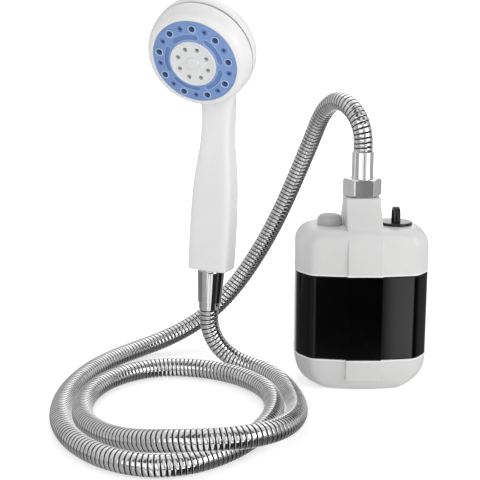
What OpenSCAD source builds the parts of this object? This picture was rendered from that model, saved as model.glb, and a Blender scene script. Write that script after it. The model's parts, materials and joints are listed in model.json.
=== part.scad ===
// Rechargeable camp shower: a hand-sized pump, a ribbed steel hose and a hand shower.
// Millimetres, +Z up. The origin is the centre of the pump's base.

/* [Pump body] */
// Width of the pump
pump_w = 93; // [90:1:98]
// Depth of the pump, without the front panel
pump_d = 63; // [60:1:68]
// Height of the shoulders above the base
pump_h = 112.5; // [111:0.5:117]
// How square the plan is: 2 is an ellipse
squareness = 3; // [2.6:0.1:3.2]
// Radius of the shoulders at the two sides
shoulder_r = 12; // [10:1:13]
// How far the shoulders are drawn in at the front and the back
shoulder_in = 6; // [5:0.5:9]
// Radius of the bottom edge at the two sides
bottom_r = 20; // [16:1:20]
// How far the bottom edge is drawn in at the front and the back
bottom_in = 8; // [6:1:10]
// Wall of the two shells
shell_wall = 2.4; // [2:0.1:2.8]
// How far the middle panel stands out of the front and the back
panel_rise = 1.2; // [0.8:0.1:2]
// Height of the panel's lower end
panel_foot = 8.6; // [7:0.2:10]

/* [Black band] */
// Height of the band's lower edge
band_z = 23.5; // [23:0.5:28]
// Height of the band
band_h = 58.5; // [50:0.5:60]
// Thickness of the band
band_t = 1.2; // [0.8:0.1:1.6]

/* [Outlet neck] */
// Width of the square neck and of the panel
neck_w = 24; // [22:0.5:24]
// Height of the neck's top
neck_top = 132.5; // [130:0.5:134]
// Outer diameter of the outlet thread
thread_d = 20.9; // [19:0.1:21]
// Length of the outlet thread
thread_len = 7.5; // [6:0.5:10]
// Outer diameter of the riser tube inside
tube_d = 12; // [10:0.5:13]
// Wall of the riser tube
tube_wall = 2; // [1:0.25:2.5]

/* [Hose nut] */
// Hose nut, across its flats
nut_flats = 23.4; // [23:0.2:26]
// Thickness of the nut's top
nut_top = 1.3; // [1:0.1:1.6]
// Thickness of the rubber washers
washer_t = 2; // [1.5:0.1:2.5]
// Thickness of the ferrules' flanges
flange_t = 1.4; // [1:0.1:1.8]
// Wall of the ferrules round the hose
ferrule_wall = 0.65; // [0.5:0.05:0.7]
// Bore of the washers and ferrules
water_d = 9; // [8:0.5:10]

/* [Button and plug] */
// Diameter of the power button
button_d = 17.2; // [14:0.2:18]
// How far the button stands out
button_rise = 8; // [6:0.5:10]
// Distance of the button from the middle
button_x = 22; // [21:0.5:23]
// Travel of the button
button_travel = 1.5; // [1:0.1:1.7]
// Diameter of the charging plug's flange
plug_d = 22.6; // [18:0.2:22.8]
// Thickness of the plug's flange
plug_t = 2; // [1.5:0.1:3]
// Distance of the plug from the middle
plug_x = 24; // [23.5:0.5:24.5]
// Diameter of the plug's stem
stem_d = 12; // [10:0.5:13]
// Length of the plug's stem
stem_len = 9; // [6:0.5:9]
// Outer diameter of the pull loop
loop_d = 11.4; // [9:0.2:12]
// Width of the pull loop's strap
loop_w = 4.4; // [3.5:0.1:5]

/* [Inside the pump] */
// Height of the chassis plate's underside
chassis_z = 20; // [18.5:0.5:20.5]
// Thickness of the chassis plate
chassis_t = 2; // [1.5:0.25:2.5]
// Motor diameter
motor_d = 24; // [20:0.5:24]
// Motor length
motor_len = 34; // [28:1:36]
// Distance of the motor from the middle
motor_x = 20.5; // [20:0.25:21]
// Shaft diameter
shaft_d = 2.3; // [2:0.1:3]
// Impeller diameter
impeller_d = 20; // [16:0.5:20.5]
// Number of impeller blades
blade_count = 6; // [4:1:8]
// Diameter of a battery cell
cell_d = 18.4; // [17:0.2:18.6]
// Length of a battery cell
cell_len = 65; // [50:1:66]
// Diameter of the intake strainer
strainer_d = 20; // [18:0.5:20.5]
// Diameter of a chassis screw's shank
screw_d = 3; // [2.5:0.1:3.5]

/* [Hand shower] */
// Half width of the handle at its foot
grip_w = 15.2; // [14:0.1:17]
// Half width of the handle at the neck
grip_neck_w = 10.8; // [10:0.2:12]
// Diameter of the head
head_d = 71; // [69:0.5:76]
// Depth of the turning bezel
bezel_depth = 14; // [13:0.1:15]
// Depth of the whole head
head_depth = 35; // [33:0.5:38]
// Downward tilt of the spray face
face_tilt = 28; // [25:1:31]
// Turn of the hand shower to its right
hand_turn = 20; // [10:1:30]
// Wall of the hand shower
hand_wall = 2.4; // [2:0.1:3]
// Diameter of the blue spray ring
ring_d = 57.2; // [55:0.2:58]
// Diameter of the white middle disc
middle_d = 31.6; // [30:0.2:32]
// Thickness of the spray ring and the middle disc
face_t = 3; // [2.5:0.1:3.5]
// How far the middle disc stands in front of the ring's outer edge
face_crown = 2.4; // [1:0.1:3]
// Diameter of the circle of ring nozzles
nozzle_pcd = 48; // [47.6:0.2:48.4]
// Number of wide nozzles, with as many narrow ones between
nozzle_count = 9; // [6:1:9]
// Diameter of a wide nozzle
nozzle_d = 5.6; // [4:0.1:5.6]
// Number of holes in the middle disc
jet_count = 8; // [6:1:10]
// Diameter of a hole in the middle disc
jet_d = 3; // [1.6:0.1:3.2]
// Diameter of the circle of holes in the middle disc
jet_pcd = 21.2; // [19:0.2:22]
// Diameter of the spindle that the face turns on
spindle_d = 4.8; // [4:0.1:5.5]

/* [Hose] */
// Outer diameter of the hose
hose_d = 13.4; // [12.6:0.1:13.6]
// Depth of the groove between two ribs
rib_depth = 0.6; // [0.3:0.1:1]
// Bore of the hose
hose_bore = 9; // [7:0.5:10]

/* [Hidden] */

$fn = 64;

// Clearances: between fixed pieces, between turning pieces, and of a shaft in its bore
fit = 0.1;
gap = 0.3;
run = 0.05;
// A cut reaches this far past a face
over = 1;

white = "#f1f1ef";
chrome = "#c9ccce";
black = "#161617";
grey = "#8f9092";
blue = "#7f9bd0";

// Points round one oval ring, and facets of the small hull-free lofts
ring_points = 40;

half_w = pump_w / 2;
half_d = pump_d / 2;
panel_y = half_d + panel_rise;
band_top = band_z + band_h;
seat = band_t + fit;
shell_top_in = pump_h - shell_wall;

// Levels up the hose nut
thread_top = neck_top + thread_len;
washer_top = thread_top + washer_t;
flange_top = washer_top + flange_t;
nut_foot = neck_top + gap;
nut_head = flange_top + gap;
nut_end = nut_head + nut_top;

hose_r = hose_d / 2;
ferrule_bore_r = hose_r + fit;
ferrule_r = ferrule_bore_r + ferrule_wall;

// The hose's route: from the pump over an arch, twice round on the ground, up to the hand shower
route = [
    [0, 0, 149], [0, 0, 163], [0, 0, 177], [-4, 5, 188], [-11, 16, 196], [-18, 33, 196],
    [-25, 49, 185], [-30, 61, 167], [-38, 70, 145], [-48, 76, 119], [-60, 80, 92], [-75, 80, 66],
    [-93, 77, 41], [-117, 70, 20], [-145, 57, 9], [-169, 36, 6.9], [-187, 7, 6.9],
    [-198, -27, 6.9], [-202, -63, 6.9], [-198, -100, 6.9], [-183, -134, 6.9], [-157, -160, 6.9],
    [-125, -169, 6.9], [-97, -153, 6.9], [-77, -127, 6.9], [-66, -98, 6.9], [-62, -68, 6.9],
    [-69, -38, 6.9], [-88, -12, 6.9], [-117, 3, 6.9], [-149, 1, 6.9], [-173, -21, 6.9],
    [-184, -52, 6.9], [-184, -84, 6.9], [-173, -113, 9], [-149, -142, 15], [-118, -165, 22.6],
    [-86, -165, 23], [-63, -150, 21], [-51, -120, 16], [-47, -84, 10], [-50, -50, 6.9],
    [-57, -23, 6.9], [-68, -3, 6.9], [-85, 5, 9], [-100, 6, 20], [-107.3, 6, 36], [-106.5, 6, 50],
    [-105.7, 6, 64]
];

// Ribs on the whole hose, and the ribs where it meets and leaves the ground
rib_count = 150;
rib_ground = 40;
rib_lift = 140;
hose_sides = 8;

route_end = len(route) - 1;
// Each end goes about one diameter into its ferrule: its seat and its ferrule's mouth
hose_foot = route[0];
ferrule_mouth = route[1][2];
hand_foot = route[route_end - 1];
hand_end = route[route_end];
hose_in_hand = norm(hand_end - hand_foot);
hand_lean = atan2(hand_end[0] - hand_foot[0], hand_end[2] - hand_foot[2]);
// A smooth curve guided by the route: a uniform cubic B-spline, mirrored at its ends
guide = concat([2 * route[0] - route[1]], route, [2 * route[route_end] - route[route_end - 1]]);
span_steps = 12;
function spline(p, t) =
    (pow(1 - t, 3) * p[0] + (3 * pow(t, 3) - 6 * t * t + 4) * p[1]
    + (1 + 3 * t + 3 * t * t - 3 * pow(t, 3)) * p[2] + pow(t, 3) * p[3]) / 6;
curve = concat(
    [for (i = [0 : route_end - 1], k = [0 : span_steps - 1])
        spline([for (j = [0 : 3]) guide[i + j]], k / span_steps)],
    [route[route_end]]
);
curve_end = len(curve) - 1;
// Length along the curve at each of its points
reach = [for (i = 0, s = 0; i <= curve_end;
    s = s + (i < curve_end ? norm(curve[i + 1] - curve[i]) : 0), i = i + 1) s];
hose_len = reach[curve_end];
along = [for (axis = [0 : 2]) [for (i = [0 : curve_end]) [reach[i], curve[i][axis]]]];
function at(s) = [for (axis = [0 : 2]) lookup(s, along[axis])];

// Two rings to a rib: even ones in the groove, odd ones on the crest
ring_last = 2 * rib_count;
ring_step = hose_len / ring_last;
centre = [for (j = [0 : ring_last]) at(j * ring_step)];
function unit(v) = v / norm(v);
heading = [for (j = [0 : ring_last])
    j == 0 ? unit(route[1] - route[0])
    : j == ring_last ? unit(route[route_end] - route[route_end - 1])
    : unit(centre[j + 1] - centre[j - 1])];
function across(v, t) = unit(v - (v * t) * t);
// A side direction carried along the hose without twist
side = [for (j = 0, v = across([0, 1, 0], heading[0]); j <= ring_last;
    v = j < ring_last ? across(v, heading[j + 1]) : v, j = j + 1) v];
function hose_ring(j, r) = [for (i = [0 : hose_sides - 1])
    let (a = 360 * i / hose_sides)
    centre[j] + r * (cos(a) * side[j] + sin(a) * cross(heading[j], side[j]))];
function rib_r(j) = hose_r - (j % 2 == 0 ? rib_depth : 0);

// Least room between two stretches of the hose, measured between its rings
near = 6 * ceil(hose_d / ring_step);
hose_room = min([for (i = [0 : ring_last - near], j = [i + near : ring_last])
    norm(centre[i] - centre[j])]) - hose_d;
echo(str("hose length ", hose_len, ", least gap to itself ", hose_room));

// The hand shower's levels above its ferrule's mouth
hand_flange = hose_in_hand + fit;
hand_washer_z = hand_flange + flange_t;
hand_spigot = hand_washer_z + washer_t;
hand_thread_d = 2 * ferrule_r + 1.2;
hand_thread = 12;
grip_z = hand_spigot + hand_thread;
hand_nut_foot = 5;
hand_nut_foot_wall = 0.6;
hand_nut_wall = 1.3;
grip_len = 110.5;
grip_top = grip_z + grip_len;

// The waterway's turn from the handle into the head
elbow_rise = 6;
elbow_tilt = 34;
elbow_len = 26;

// The head, measured back from its spray face
head_r = head_d / 2;
face_y = 42.4;
face_rise = 34.1;
face_side = 3;
face_z = grip_top + face_rise;
rim_z = bezel_depth + gap;
rim_depth = 4;
dome_r = 13;
ring_r = ring_d / 2;
middle_r = middle_d / 2;
ring_z = 0.4;
ledge_z = face_t + ring_z;
ledge_t = 1.6;
hub_r = spindle_d / 2 + 2;
hub_end = bezel_depth - 5;
diverter_t = 2.5;
diverter_z = hub_end + gap;
boss_z = diverter_z + diverter_t;
seal_d = 1.5;
seal_r_mid = head_r - hand_wall / 2;
ring_in = middle_r + fit;
arc_count = 5;
arc_turn = 13;
slot_r = 1.7;
slot_pcd = middle_d + 2 * slot_r + 0.8;
slot_span = 58;
slot_depth = 0.8;
nozzle_turn = 5;
nozzle_rise = 0.8;
nozzle_wall = 1.1;
small_nozzle_d = nozzle_d - 1.2;
cap_d = 9;
cap_t = 0.6;

// Intake, chamber and rotor levels above the base
strainer_t = 1.6;
strainer_z = shell_wall - strainer_t;
chamber_wall = 2.2;
chamber_r = impeller_d / 2 + gap + 0.8;
chamber_floor = shell_wall + 2;
impeller_foot = chamber_floor + chamber_wall + 1;
impeller_top = chassis_z - 1.5;
outlet_floor = chamber_floor + chamber_wall + 1;
motor_z = chassis_z + chassis_t;
motor_end = motor_z + motor_len;
endcap_t = 2;
seal_r = 4;
shaft_in = 20;
post_x = 33;
post_y = 14;
post_r = 3.5;
post_foot = 5;
cell_y = cell_d / 2 + 0.4;
cell_x = 20;
contact_d = 6;
contact_t = 1;
board_w = 26;
board_t = 1.6;
switch_w = 8;
switch_t = 4;
plunger_d = 3.5;
plunger_t = 1.5;
button_flange = 1.4;
button_flange_t = 2;
button_stem_d = 5;
button_foot = shell_top_in - gap - button_flange_t;
plunger_top = button_foot - 2 - button_travel - gap;
switch_z = plunger_top - plunger_t - switch_t;
board_top = switch_z;
board_z = motor_end + endcap_t;
socket_wall = 1.8;
socket_r = stem_d / 2 + gap + socket_wall;
socket_floor = 2;
socket_len = stem_len - shell_wall + gap + socket_floor;
pin_d = 2;
pin_len = 5;

// Points of an oval with half axes a and b
function oval(a, b, n) = [for (i = [0 : ring_points - 1])
    let (t = 360 * i / ring_points, c = cos(t), s = sin(t))
    [a * sign(c) * pow(abs(c), 2 / n), b * sign(s) * pow(abs(s), 2 / n)]];
function lift(points, z) = [for (p = points) [p[0], p[1], z]];
function pump_ring(inset, z) = lift(oval(half_w - inset, half_d - inset, squareness), z);
function edge_ring(side_in, front_in, z) = lift(oval(half_w - side_in, half_d - front_in, squareness), z);
// How far a rounded edge of radius r is drawn in, h below its start
function round_in(r, h) = r - sqrt(max(0, r * r - h * h));

// A closed solid through rings of equally many points
module skin(rings) {
    k = len(rings[0]);
    last = len(rings) - 1;
    sides = [for (j = [0 : last - 1], i = [0 : k - 1])
        let (n = (i + 1) % k)
        each [[j * k + i, (j + 1) * k + i, (j + 1) * k + n], [j * k + i, (j + 1) * k + n, j * k + n]]];
    foot = [for (i = [0 : k - 1]) i];
    head = [for (i = [k - 1 : -1 : 0]) last * k + i];
    polyhedron([for (r = rings) each r], concat([foot], sides, [head]));
}

module tube(r, bore, h) {
    difference() {
        cylinder(r = r, h = h);
        translate([0, 0, -over]) cylinder(r = bore, h = h + 2 * over);
    }
}

// One stretch of the hose between two ring numbers, with its bore
module hose_stretch(from, to) {
    outer = [for (j = [from : to]) hose_ring(j, rib_r(j))];
    inner = [for (j = [to : -4 : from]) hose_ring(j, hose_bore / 2)];
    rings = concat(outer, inner);
    k = hose_sides;
    count = len(rings);
    faces = [for (j = [0 : count - 1], i = [0 : k - 1])
        let (n = (i + 1) % k, m = (j + 1) % count)
        each [[j * k + i, m * k + i, m * k + n], [j * k + i, m * k + n, j * k + n]]];
    color(chrome) polyhedron([for (r = rings) each r], faces);
}

// Rounding steps of the pump's edges
edge_steps = 6;
function edge_angles() = [for (i = [0 : edge_steps]) 90 * i / edge_steps];
function edge_angles_back() = [for (i = [edge_steps : -1 : 0]) 90 * i / edge_steps];
// Rings of the pump's rounded foot, drawn in by the wall w
function foot_rings(w, angles) = [for (a = angles)
    let (r = bottom_r - w)
    edge_ring(w + r * (1 - cos(a)), w + bottom_in * r / bottom_r * (1 - cos(a)), bottom_r - r * sin(a))];

// Rings of the pump's shoulders, drawn in by the wall w
function shoulder_rings(w, angles) = [for (a = angles)
    let (r = shoulder_r - w)
    edge_ring(w + r * (1 - cos(a)), w + shoulder_in * r / shoulder_r * (1 - cos(a)),
        pump_h - shoulder_r + r * sin(a))];

// The outlet neck with the panel that runs down from it; its slope stands proud of the shoulders
module neck_block() {
    slope_foot = pump_h - shoulder_r / 2 - 1;
    slope_top = neck_top - 3.5;
    back_y = half_d - shell_wall / 2;
    back_z = pump_h - shell_wall / 2;
    block = [
        [-panel_y, band_top], [-panel_y, slope_foot], [-neck_w / 2, slope_top], [-neck_w / 2, neck_top],
        [neck_w / 2, neck_top], [neck_w / 2, slope_top], [panel_y, slope_foot], [panel_y, band_top],
        [back_y, band_top], [back_y, pump_h - shoulder_r], [back_y - shoulder_in, back_z],
        [shoulder_in - back_y, back_z], [-back_y, pump_h - shoulder_r], [-back_y, band_top]
    ];
    rotate([90, 0, 90]) translate([0, 0, -neck_w / 2]) linear_extrude(neck_w) polygon(block);
    translate([0, 0, neck_top - over]) cylinder(d = thread_d, h = thread_len + over);
}

// White top of the pump, with the skirt that the band goes round
module upper_shell() {
    rings = concat(
        shoulder_rings(shell_wall, edge_angles_back()),
        [pump_ring(shell_wall, band_top + shell_wall), pump_ring(seat + shell_wall, band_top)],
        [pump_ring(seat + shell_wall, band_z), pump_ring(seat, band_z), pump_ring(seat, band_top)],
        [pump_ring(0, band_top)],
        shoulder_rings(0, edge_angles())
    );
    color(white) difference() {
        union() {
            skin(rings);
            neck_block();
        }
        translate([0, 0, pump_h - 3 * shell_wall])
            cylinder(d = tube_d + 2 * fit, h = thread_top - pump_h + 4 * shell_wall);
        translate([-button_x, 0, shell_top_in - over])
            cylinder(d = button_d + 2 * gap, h = shell_wall + 2 * over);
        translate([plug_x, 0, shell_top_in - over])
            cylinder(d = stem_d + 2 * gap, h = shell_wall + 2 * over);
    }
}

// White foot of the pump, with the screw posts and the seat of the strainer
module lower_shell() {
    rings = concat(
        foot_rings(0, edge_angles_back()),
        [pump_ring(0, band_z), pump_ring(shell_wall, band_z)],
        foot_rings(shell_wall, edge_angles())
    );
    panel_in = bottom_in * round_in(bottom_r, bottom_r - panel_foot) / bottom_r;
    panel_back = half_d - panel_in - shell_wall / 2;
    color(white) difference() {
        union() {
            skin(rings);
            for (m = [0, 1]) mirror([0, m, 0])
                translate([-neck_w / 2, -panel_y, panel_foot])
                    cube([neck_w, panel_y - panel_back, band_z - panel_foot]);
            intersection() {
                skin(concat(
                    foot_rings(shell_wall / 2, edge_angles_back()), [pump_ring(shell_wall / 2, band_z)]
                ));
                for (x = [-post_x, post_x], y = [-post_y, post_y])
                    translate([x, y, 0]) cylinder(r = post_r, h = chassis_z);
            }
        }
        translate([-motor_x, 0, strainer_z])
            cylinder(d = strainer_d + 2 * fit, h = strainer_t + over);
        translate([-motor_x, 0, -over]) cylinder(d = strainer_d - 4, h = shell_wall + 2 * over);
        for (x = [-post_x, post_x], y = [-post_y, post_y])
            translate([x, y, post_foot + shell_wall])
                cylinder(d = screw_d + 2 * fit, h = chassis_z - post_foot);
    }
}

// Black sleeve round the middle of the pump
module grip_band() {
    color(black) translate([0, 0, band_z]) linear_extrude(band_h) difference() {
        union() {
            polygon(oval(half_w, half_d, squareness));
            square([neck_w, 2 * panel_y], center = true);
        }
        polygon(oval(half_w - band_t, half_d - band_t, squareness));
    }
}

// Slotted disc that keeps sand out of the intake
module intake_strainer() {
    slot_w = 1.4;
    slot_pitch = 2.8;
    rim = 4;
    slot_rows = floor((strainer_d / 2 - rim) / slot_pitch);
    color(black) translate([-motor_x, 0, strainer_z]) difference() {
        cylinder(d = strainer_d, h = strainer_t);
        for (row = [-slot_rows : slot_rows]) {
            y = row * slot_pitch;
            slot_len = 2 * sqrt(pow(strainer_d / 2 - rim, 2) - y * y);
            translate([-slot_len / 2, y - slot_w / 2, -over])
                cube([slot_len, slot_w, strainer_t + 2 * over]);
        }
    }
}

// Plate that carries the motor, the battery and the chamber
module chassis_plate() {
    color(grey) translate([0, 0, chassis_z]) difference() {
        linear_extrude(chassis_t)
            polygon(oval(half_w - shell_wall - 0.6, half_d - shell_wall - 0.6, squareness));
        translate([-motor_x, 0, -over]) cylinder(r = seal_r + fit / 2, h = chassis_t + 2 * over);
        translate([0, 0, -over]) cylinder(d = tube_d + 2 * fit, h = chassis_t + 2 * over);
        for (x = [-post_x, post_x], y = [-post_y, post_y])
            translate([x, y, -over]) cylinder(d = screw_d + 2 * fit, h = chassis_t + 2 * over);
    }
}

// Screws that hold the chassis plate on its posts
module chassis_screws() {
    head_h = 2;
    color(chrome) for (x = [-post_x, post_x], y = [-post_y, post_y]) {
        translate([x, y, post_foot + shell_wall + 1])
            cylinder(d = screw_d, h = motor_z - post_foot - shell_wall - 1);
        translate([x, y, motor_z]) difference() {
            cylinder(d = 1.8 * screw_d, h = head_h);
            translate([-screw_d, -0.4, head_h / 2]) cube([2 * screw_d, 0.8, head_h]);
        }
    }
}

// Chamber that the impeller turns in, with its intake below and its outlet beside it
module pump_chamber() {
    elbow_r = tube_d / 2 + 2;
    snout_r = 7;
    color(white) difference() {
        union() {
            translate([-motor_x, 0, chamber_floor])
                cylinder(r = chamber_r + chamber_wall, h = chassis_z - chamber_floor);
            translate([-motor_x, 0, shell_wall])
                cylinder(r = snout_r, h = chamber_floor - shell_wall + chamber_wall);
            translate([0, 0, chamber_floor]) cylinder(r = elbow_r, h = chassis_z - chamber_floor);
            translate([-motor_x, -elbow_r / 2, chamber_floor])
                cube([motor_x, elbow_r, chassis_z - chamber_floor]);
        }
        translate([-motor_x, 0, chamber_floor + chamber_wall])
            cylinder(r = chamber_r, h = chassis_z);
        translate([-motor_x, 0, 0]) cylinder(r = snout_r - 2, h = chassis_z);
        translate([0, 0, outlet_floor]) cylinder(d = tube_d + 2 * fit, h = chassis_z);
        translate([-motor_x, 0, chamber_floor + chamber_wall + 3.5]) rotate([0, 90, 0])
            cylinder(r = 2.5, h = motor_x);
    }
}

module motor() {
    color(chrome) translate([-motor_x, 0, motor_z]) difference() {
        union() {
            cylinder(d = motor_d, h = motor_len);
            translate([0, 0, motor_len]) cylinder(d = motor_d - 3, h = endcap_t);
        }
        translate([0, 0, -over]) cylinder(d = shaft_d + 2 * run, h = shaft_in + 2 + over);
    }
}

// Lip seal in the chassis plate that keeps the water below
module shaft_seal() {
    color(black) translate([-motor_x, 0, chassis_z]) tube(seal_r, shaft_d / 2 + run, chassis_t);
}

module motor_shaft() {
    color(chrome) translate([-motor_x, 0, impeller_foot])
        cylinder(d = shaft_d, h = motor_z + shaft_in - impeller_foot);
}

// Open impeller on the shaft
module impeller() {
    disc_t = 1.6;
    blade_t = 1.4;
    blade_in = 4;
    color(black) translate([-motor_x, 0, 0]) difference() {
        union() {
            translate([0, 0, impeller_foot]) cylinder(r = blade_in, h = impeller_top - impeller_foot);
            translate([0, 0, impeller_top - disc_t]) cylinder(d = impeller_d, h = disc_t);
            for (i = [0 : blade_count - 1]) rotate(360 * i / blade_count)
                translate([blade_in - 1, -blade_t / 2, impeller_foot])
                    cube([impeller_d / 2 - blade_in, blade_t, impeller_top - impeller_foot - disc_t / 2]);
        }
        cylinder(d = shaft_d, h = chassis_z);
    }
}

// Tube from the chamber up through the neck
module riser_tube() {
    color(white) translate([0, 0, outlet_floor])
        tube(tube_d / 2, tube_d / 2 - tube_wall, thread_top - outlet_floor);
}

module battery_cells() {
    color("#3d6f9e") for (y = [-cell_y, cell_y]) translate([cell_x, y, motor_z]) {
        cylinder(d = cell_d, h = cell_len - contact_t);
        translate([0, 0, cell_len - contact_t]) cylinder(d = contact_d, h = contact_t);
    }
}

// Upright board between the motor and the switch
module control_board() {
    color("#2f6b45") {
        translate([-motor_x - board_w / 2, -board_t / 2, board_z])
            cube([board_w, board_t, board_top - board_z]);
        translate([-motor_x - 5, -board_t / 2 - 2, board_z + 10]) cube([10, 2, 7]);
    }
}

module power_switch() {
    color(black) translate([-button_x, 0, switch_z]) {
        translate([-switch_w / 2, -switch_w / 2, 0]) cube([switch_w, switch_w, switch_t]);
        translate([0, 0, switch_t]) cylinder(d = plunger_d, h = plunger_t);
    }
}

// Grey domed button with a flange that keeps it under the shell
module power_button() {
    dome = 4;
    r = button_d / 2;
    top = pump_h + button_rise;
    flange_r = r + gap + button_flange;
    profile = concat(
        [[0, button_foot], [flange_r, button_foot], [flange_r, button_foot + button_flange_t]],
        [[r, button_foot + button_flange_t]],
        [for (a = edge_angles()) [r - dome * (1 - cos(a)), top - 1 - dome + dome * sin(a)]],
        [[0, top]]
    );
    color(grey) translate([-button_x, 0, 0]) {
        rotate_extrude() polygon(profile);
        translate([0, 0, plunger_top + button_travel + gap])
            cylinder(d = button_stem_d, h = button_foot - plunger_top - button_travel);
    }
}

// Charging socket under the shell
module charge_socket() {
    color(black) translate([plug_x, 0, shell_top_in - socket_len]) {
        difference() {
            cylinder(r = socket_r, h = socket_len);
            translate([0, 0, socket_floor]) cylinder(d = stem_d + 2 * gap, h = socket_len);
        }
        cylinder(d = pin_d, h = socket_floor + pin_len);
    }
}

// Rubber plug of the charging socket, with its pull loop
module charge_plug() {
    loop_wall = 2;
    loop_turn = 80;
    loop_z = pump_h + plug_t + loop_d / 2 - 1;
    color(black) translate([plug_x, 0, 0]) {
        difference() {
            union() {
                translate([0, 0, pump_h]) cylinder(d = plug_d, h = plug_t);
                translate([0, 0, pump_h - stem_len]) cylinder(d = stem_d, h = stem_len + plug_t / 2);
            }
            translate([0, 0, pump_h - stem_len - over])
                cylinder(d = pin_d + 4 * gap, h = pin_len + over + 1);
        }
        difference() {
            translate([0, 0, loop_z]) rotate([90, 0, loop_turn]) translate([0, 0, -loop_w / 2])
                tube(loop_d / 2, loop_d / 2 - loop_wall, loop_w);
            translate([-loop_d, -loop_d, pump_h - loop_d + plug_t / 2])
                cube([2 * loop_d, 2 * loop_d, loop_d]);
        }
    }
}

// Six-sided nut that turns on the hose's ferrule
module hose_nut() {
    corner = 1.5;
    hex_d = nut_flats / cos(30);
    color(chrome) difference() {
        intersection() {
            translate([0, 0, nut_foot]) cylinder(d = hex_d, h = nut_end - nut_foot, $fn = 6);
            translate([0, 0, nut_foot]) rotate_extrude() polygon([
                [0, 0], [hex_d / 2 - corner, 0], [hex_d / 2, corner / 2],
                [hex_d / 2, nut_end - nut_foot - corner / 2], [hex_d / 2 - corner, nut_end - nut_foot],
                [0, nut_end - nut_foot]
            ]);
        }
        translate([0, 0, nut_foot - over]) cylinder(d = thread_d + 2 * gap, h = nut_head - nut_foot + over);
        translate([0, 0, nut_head - over]) cylinder(r = ferrule_r + gap, h = nut_top + 2 * over);
    }
}

module hose_washer() {
    color(black) translate([0, 0, thread_top]) tube(thread_d / 2 - gap, water_d / 2, washer_t);
}

// Crimped sleeve on the pump's end of the hose
module hose_ferrule() {
    color(chrome) difference() {
        union() {
            translate([0, 0, washer_top]) cylinder(d = thread_d - gap, h = flange_t);
            translate([0, 0, washer_top]) cylinder(r = ferrule_r, h = ferrule_mouth - washer_top);
        }
        translate([0, 0, washer_top - over]) cylinder(d = water_d, h = ferrule_mouth);
        translate(hose_foot) cylinder(r = ferrule_bore_r, h = ferrule_mouth);
    }
}

module hose_arch() hose_stretch(0, 2 * rib_ground);
module hose_coil() hose_stretch(2 * rib_ground, 2 * rib_lift);
module hose_riser() hose_stretch(2 * rib_lift, ring_last);

// The hand shower's own frame: its foot at the ferrule's mouth, its handle up, its face to the front
module in_hand() {
    translate(hand_foot) rotate([0, hand_lean, 0]) rotate(-hand_turn) children();
}

// The head's own frame: its spray face at 0, measured back along +Z
module in_head() {
    in_hand() translate([-face_side, -face_y, face_z]) rotate([-90 + face_tilt, 0, 0]) children();
}

// Crimped sleeve on the hand shower's end of the hose
module hand_ferrule() {
    color(chrome) in_hand() difference() {
        union() {
            cylinder(r = ferrule_r, h = hand_washer_z);
            translate([0, 0, hand_flange]) cylinder(d = hand_thread_d - gap, h = flange_t);
        }
        translate([0, 0, -over]) cylinder(r = ferrule_bore_r, h = hose_in_hand + over);
        cylinder(d = water_d, h = hand_washer_z + over);
    }
}

module hand_washer() {
    color(black) in_hand() translate([0, 0, hand_washer_z])
        tube(hand_thread_d / 2 - gap, water_d / 2, washer_t);
}

// Tapered nut under the handle
module hand_nut() {
    foot_r = ferrule_r + gap + hand_nut_foot_wall;
    head_r = hand_thread_d / 2 + gap + hand_nut_wall;
    length = grip_z - gap - hand_nut_foot;
    color(chrome) in_hand() difference() {
        translate([0, 0, hand_nut_foot]) rotate_extrude()
            polygon([[0, 0], [foot_r, 0], [head_r, length - 1.5], [head_r, length], [0, length]]);
        cylinder(r = ferrule_r + gap, h = grip_z);
        translate([0, 0, hand_flange - gap]) cylinder(d = hand_thread_d + 2 * gap, h = grip_z);
    }
}

// Half width, half depth, forward shift and height of the handle's sections, the height as a share of its length
grip_deep = 11.6;
grip_neck_deep = 9.4;
grip_squareness = 4;
grip_steps = [
    [grip_w, grip_deep, 0, 0], [grip_w + 0.1, grip_deep + 0.2, 0, 0.18], [grip_w, grip_deep, 0, 0.34],
    [grip_w - 0.3, grip_deep - 0.3, 0, 0.45], [grip_w - 0.9, grip_deep - 0.8, 0, 0.57],
    [grip_neck_w + 1.9, grip_neck_deep + 1.1, 0, 0.7], [grip_neck_w + 0.6, grip_neck_deep + 0.4, 0, 0.8],
    [grip_neck_w, grip_neck_deep, 0, 0.91], [grip_neck_w + 0.1, grip_neck_deep - 0.2, 0.2, 0.99]
];
// The same where it bends forward into the head, with the height as a share of the bend's
bend_rise = 36;
bend_reach = 10.6;
bend_steps = [
    [grip_neck_w + 0.2, grip_neck_deep - 0.8, 0.1, 0.22], [grip_neck_w, grip_neck_deep - 1.9, 0.3, 0.5],
    [grip_neck_w - 1, grip_neck_deep - 3.4, 0.62, 0.78], [grip_neck_w - 3.4, grip_neck_deep / 2, 1, 1]
];
function grip_ring(half_wide, half_deep, shift, z) = [for (p = oval(half_wide, half_deep, grip_squareness))
    [p[0], p[1] - shift, z]];
module grip_loft() {
    skin(concat(
        [for (g = grip_steps) grip_ring(g[0], g[1], g[2], grip_z + g[3] * grip_len)],
        [for (g = bend_steps) grip_ring(g[0], g[1], g[2] * bend_reach, grip_top + g[3] * bend_rise)]
    ));
}

// Outline of the head's back from its rim to its middle, drawn in by inset
function dome_profile(inset) = concat(
    [[0, rim_z - (inset > 0 ? over : 0)], [head_r - inset, rim_z - (inset > 0 ? over : 0)]],
    [[head_r - inset, rim_z + rim_depth]],
    [for (i = [1 : edge_steps])
        let (a = 80 * i / edge_steps)
        [head_r - inset - (head_r - dome_r) * (1 - cos(a)) / (1 - cos(80)),
         rim_z + rim_depth + (head_depth - rim_z - rim_depth - inset) * sin(a) / sin(80)]],
    [[0, head_depth - inset]]
);

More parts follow.
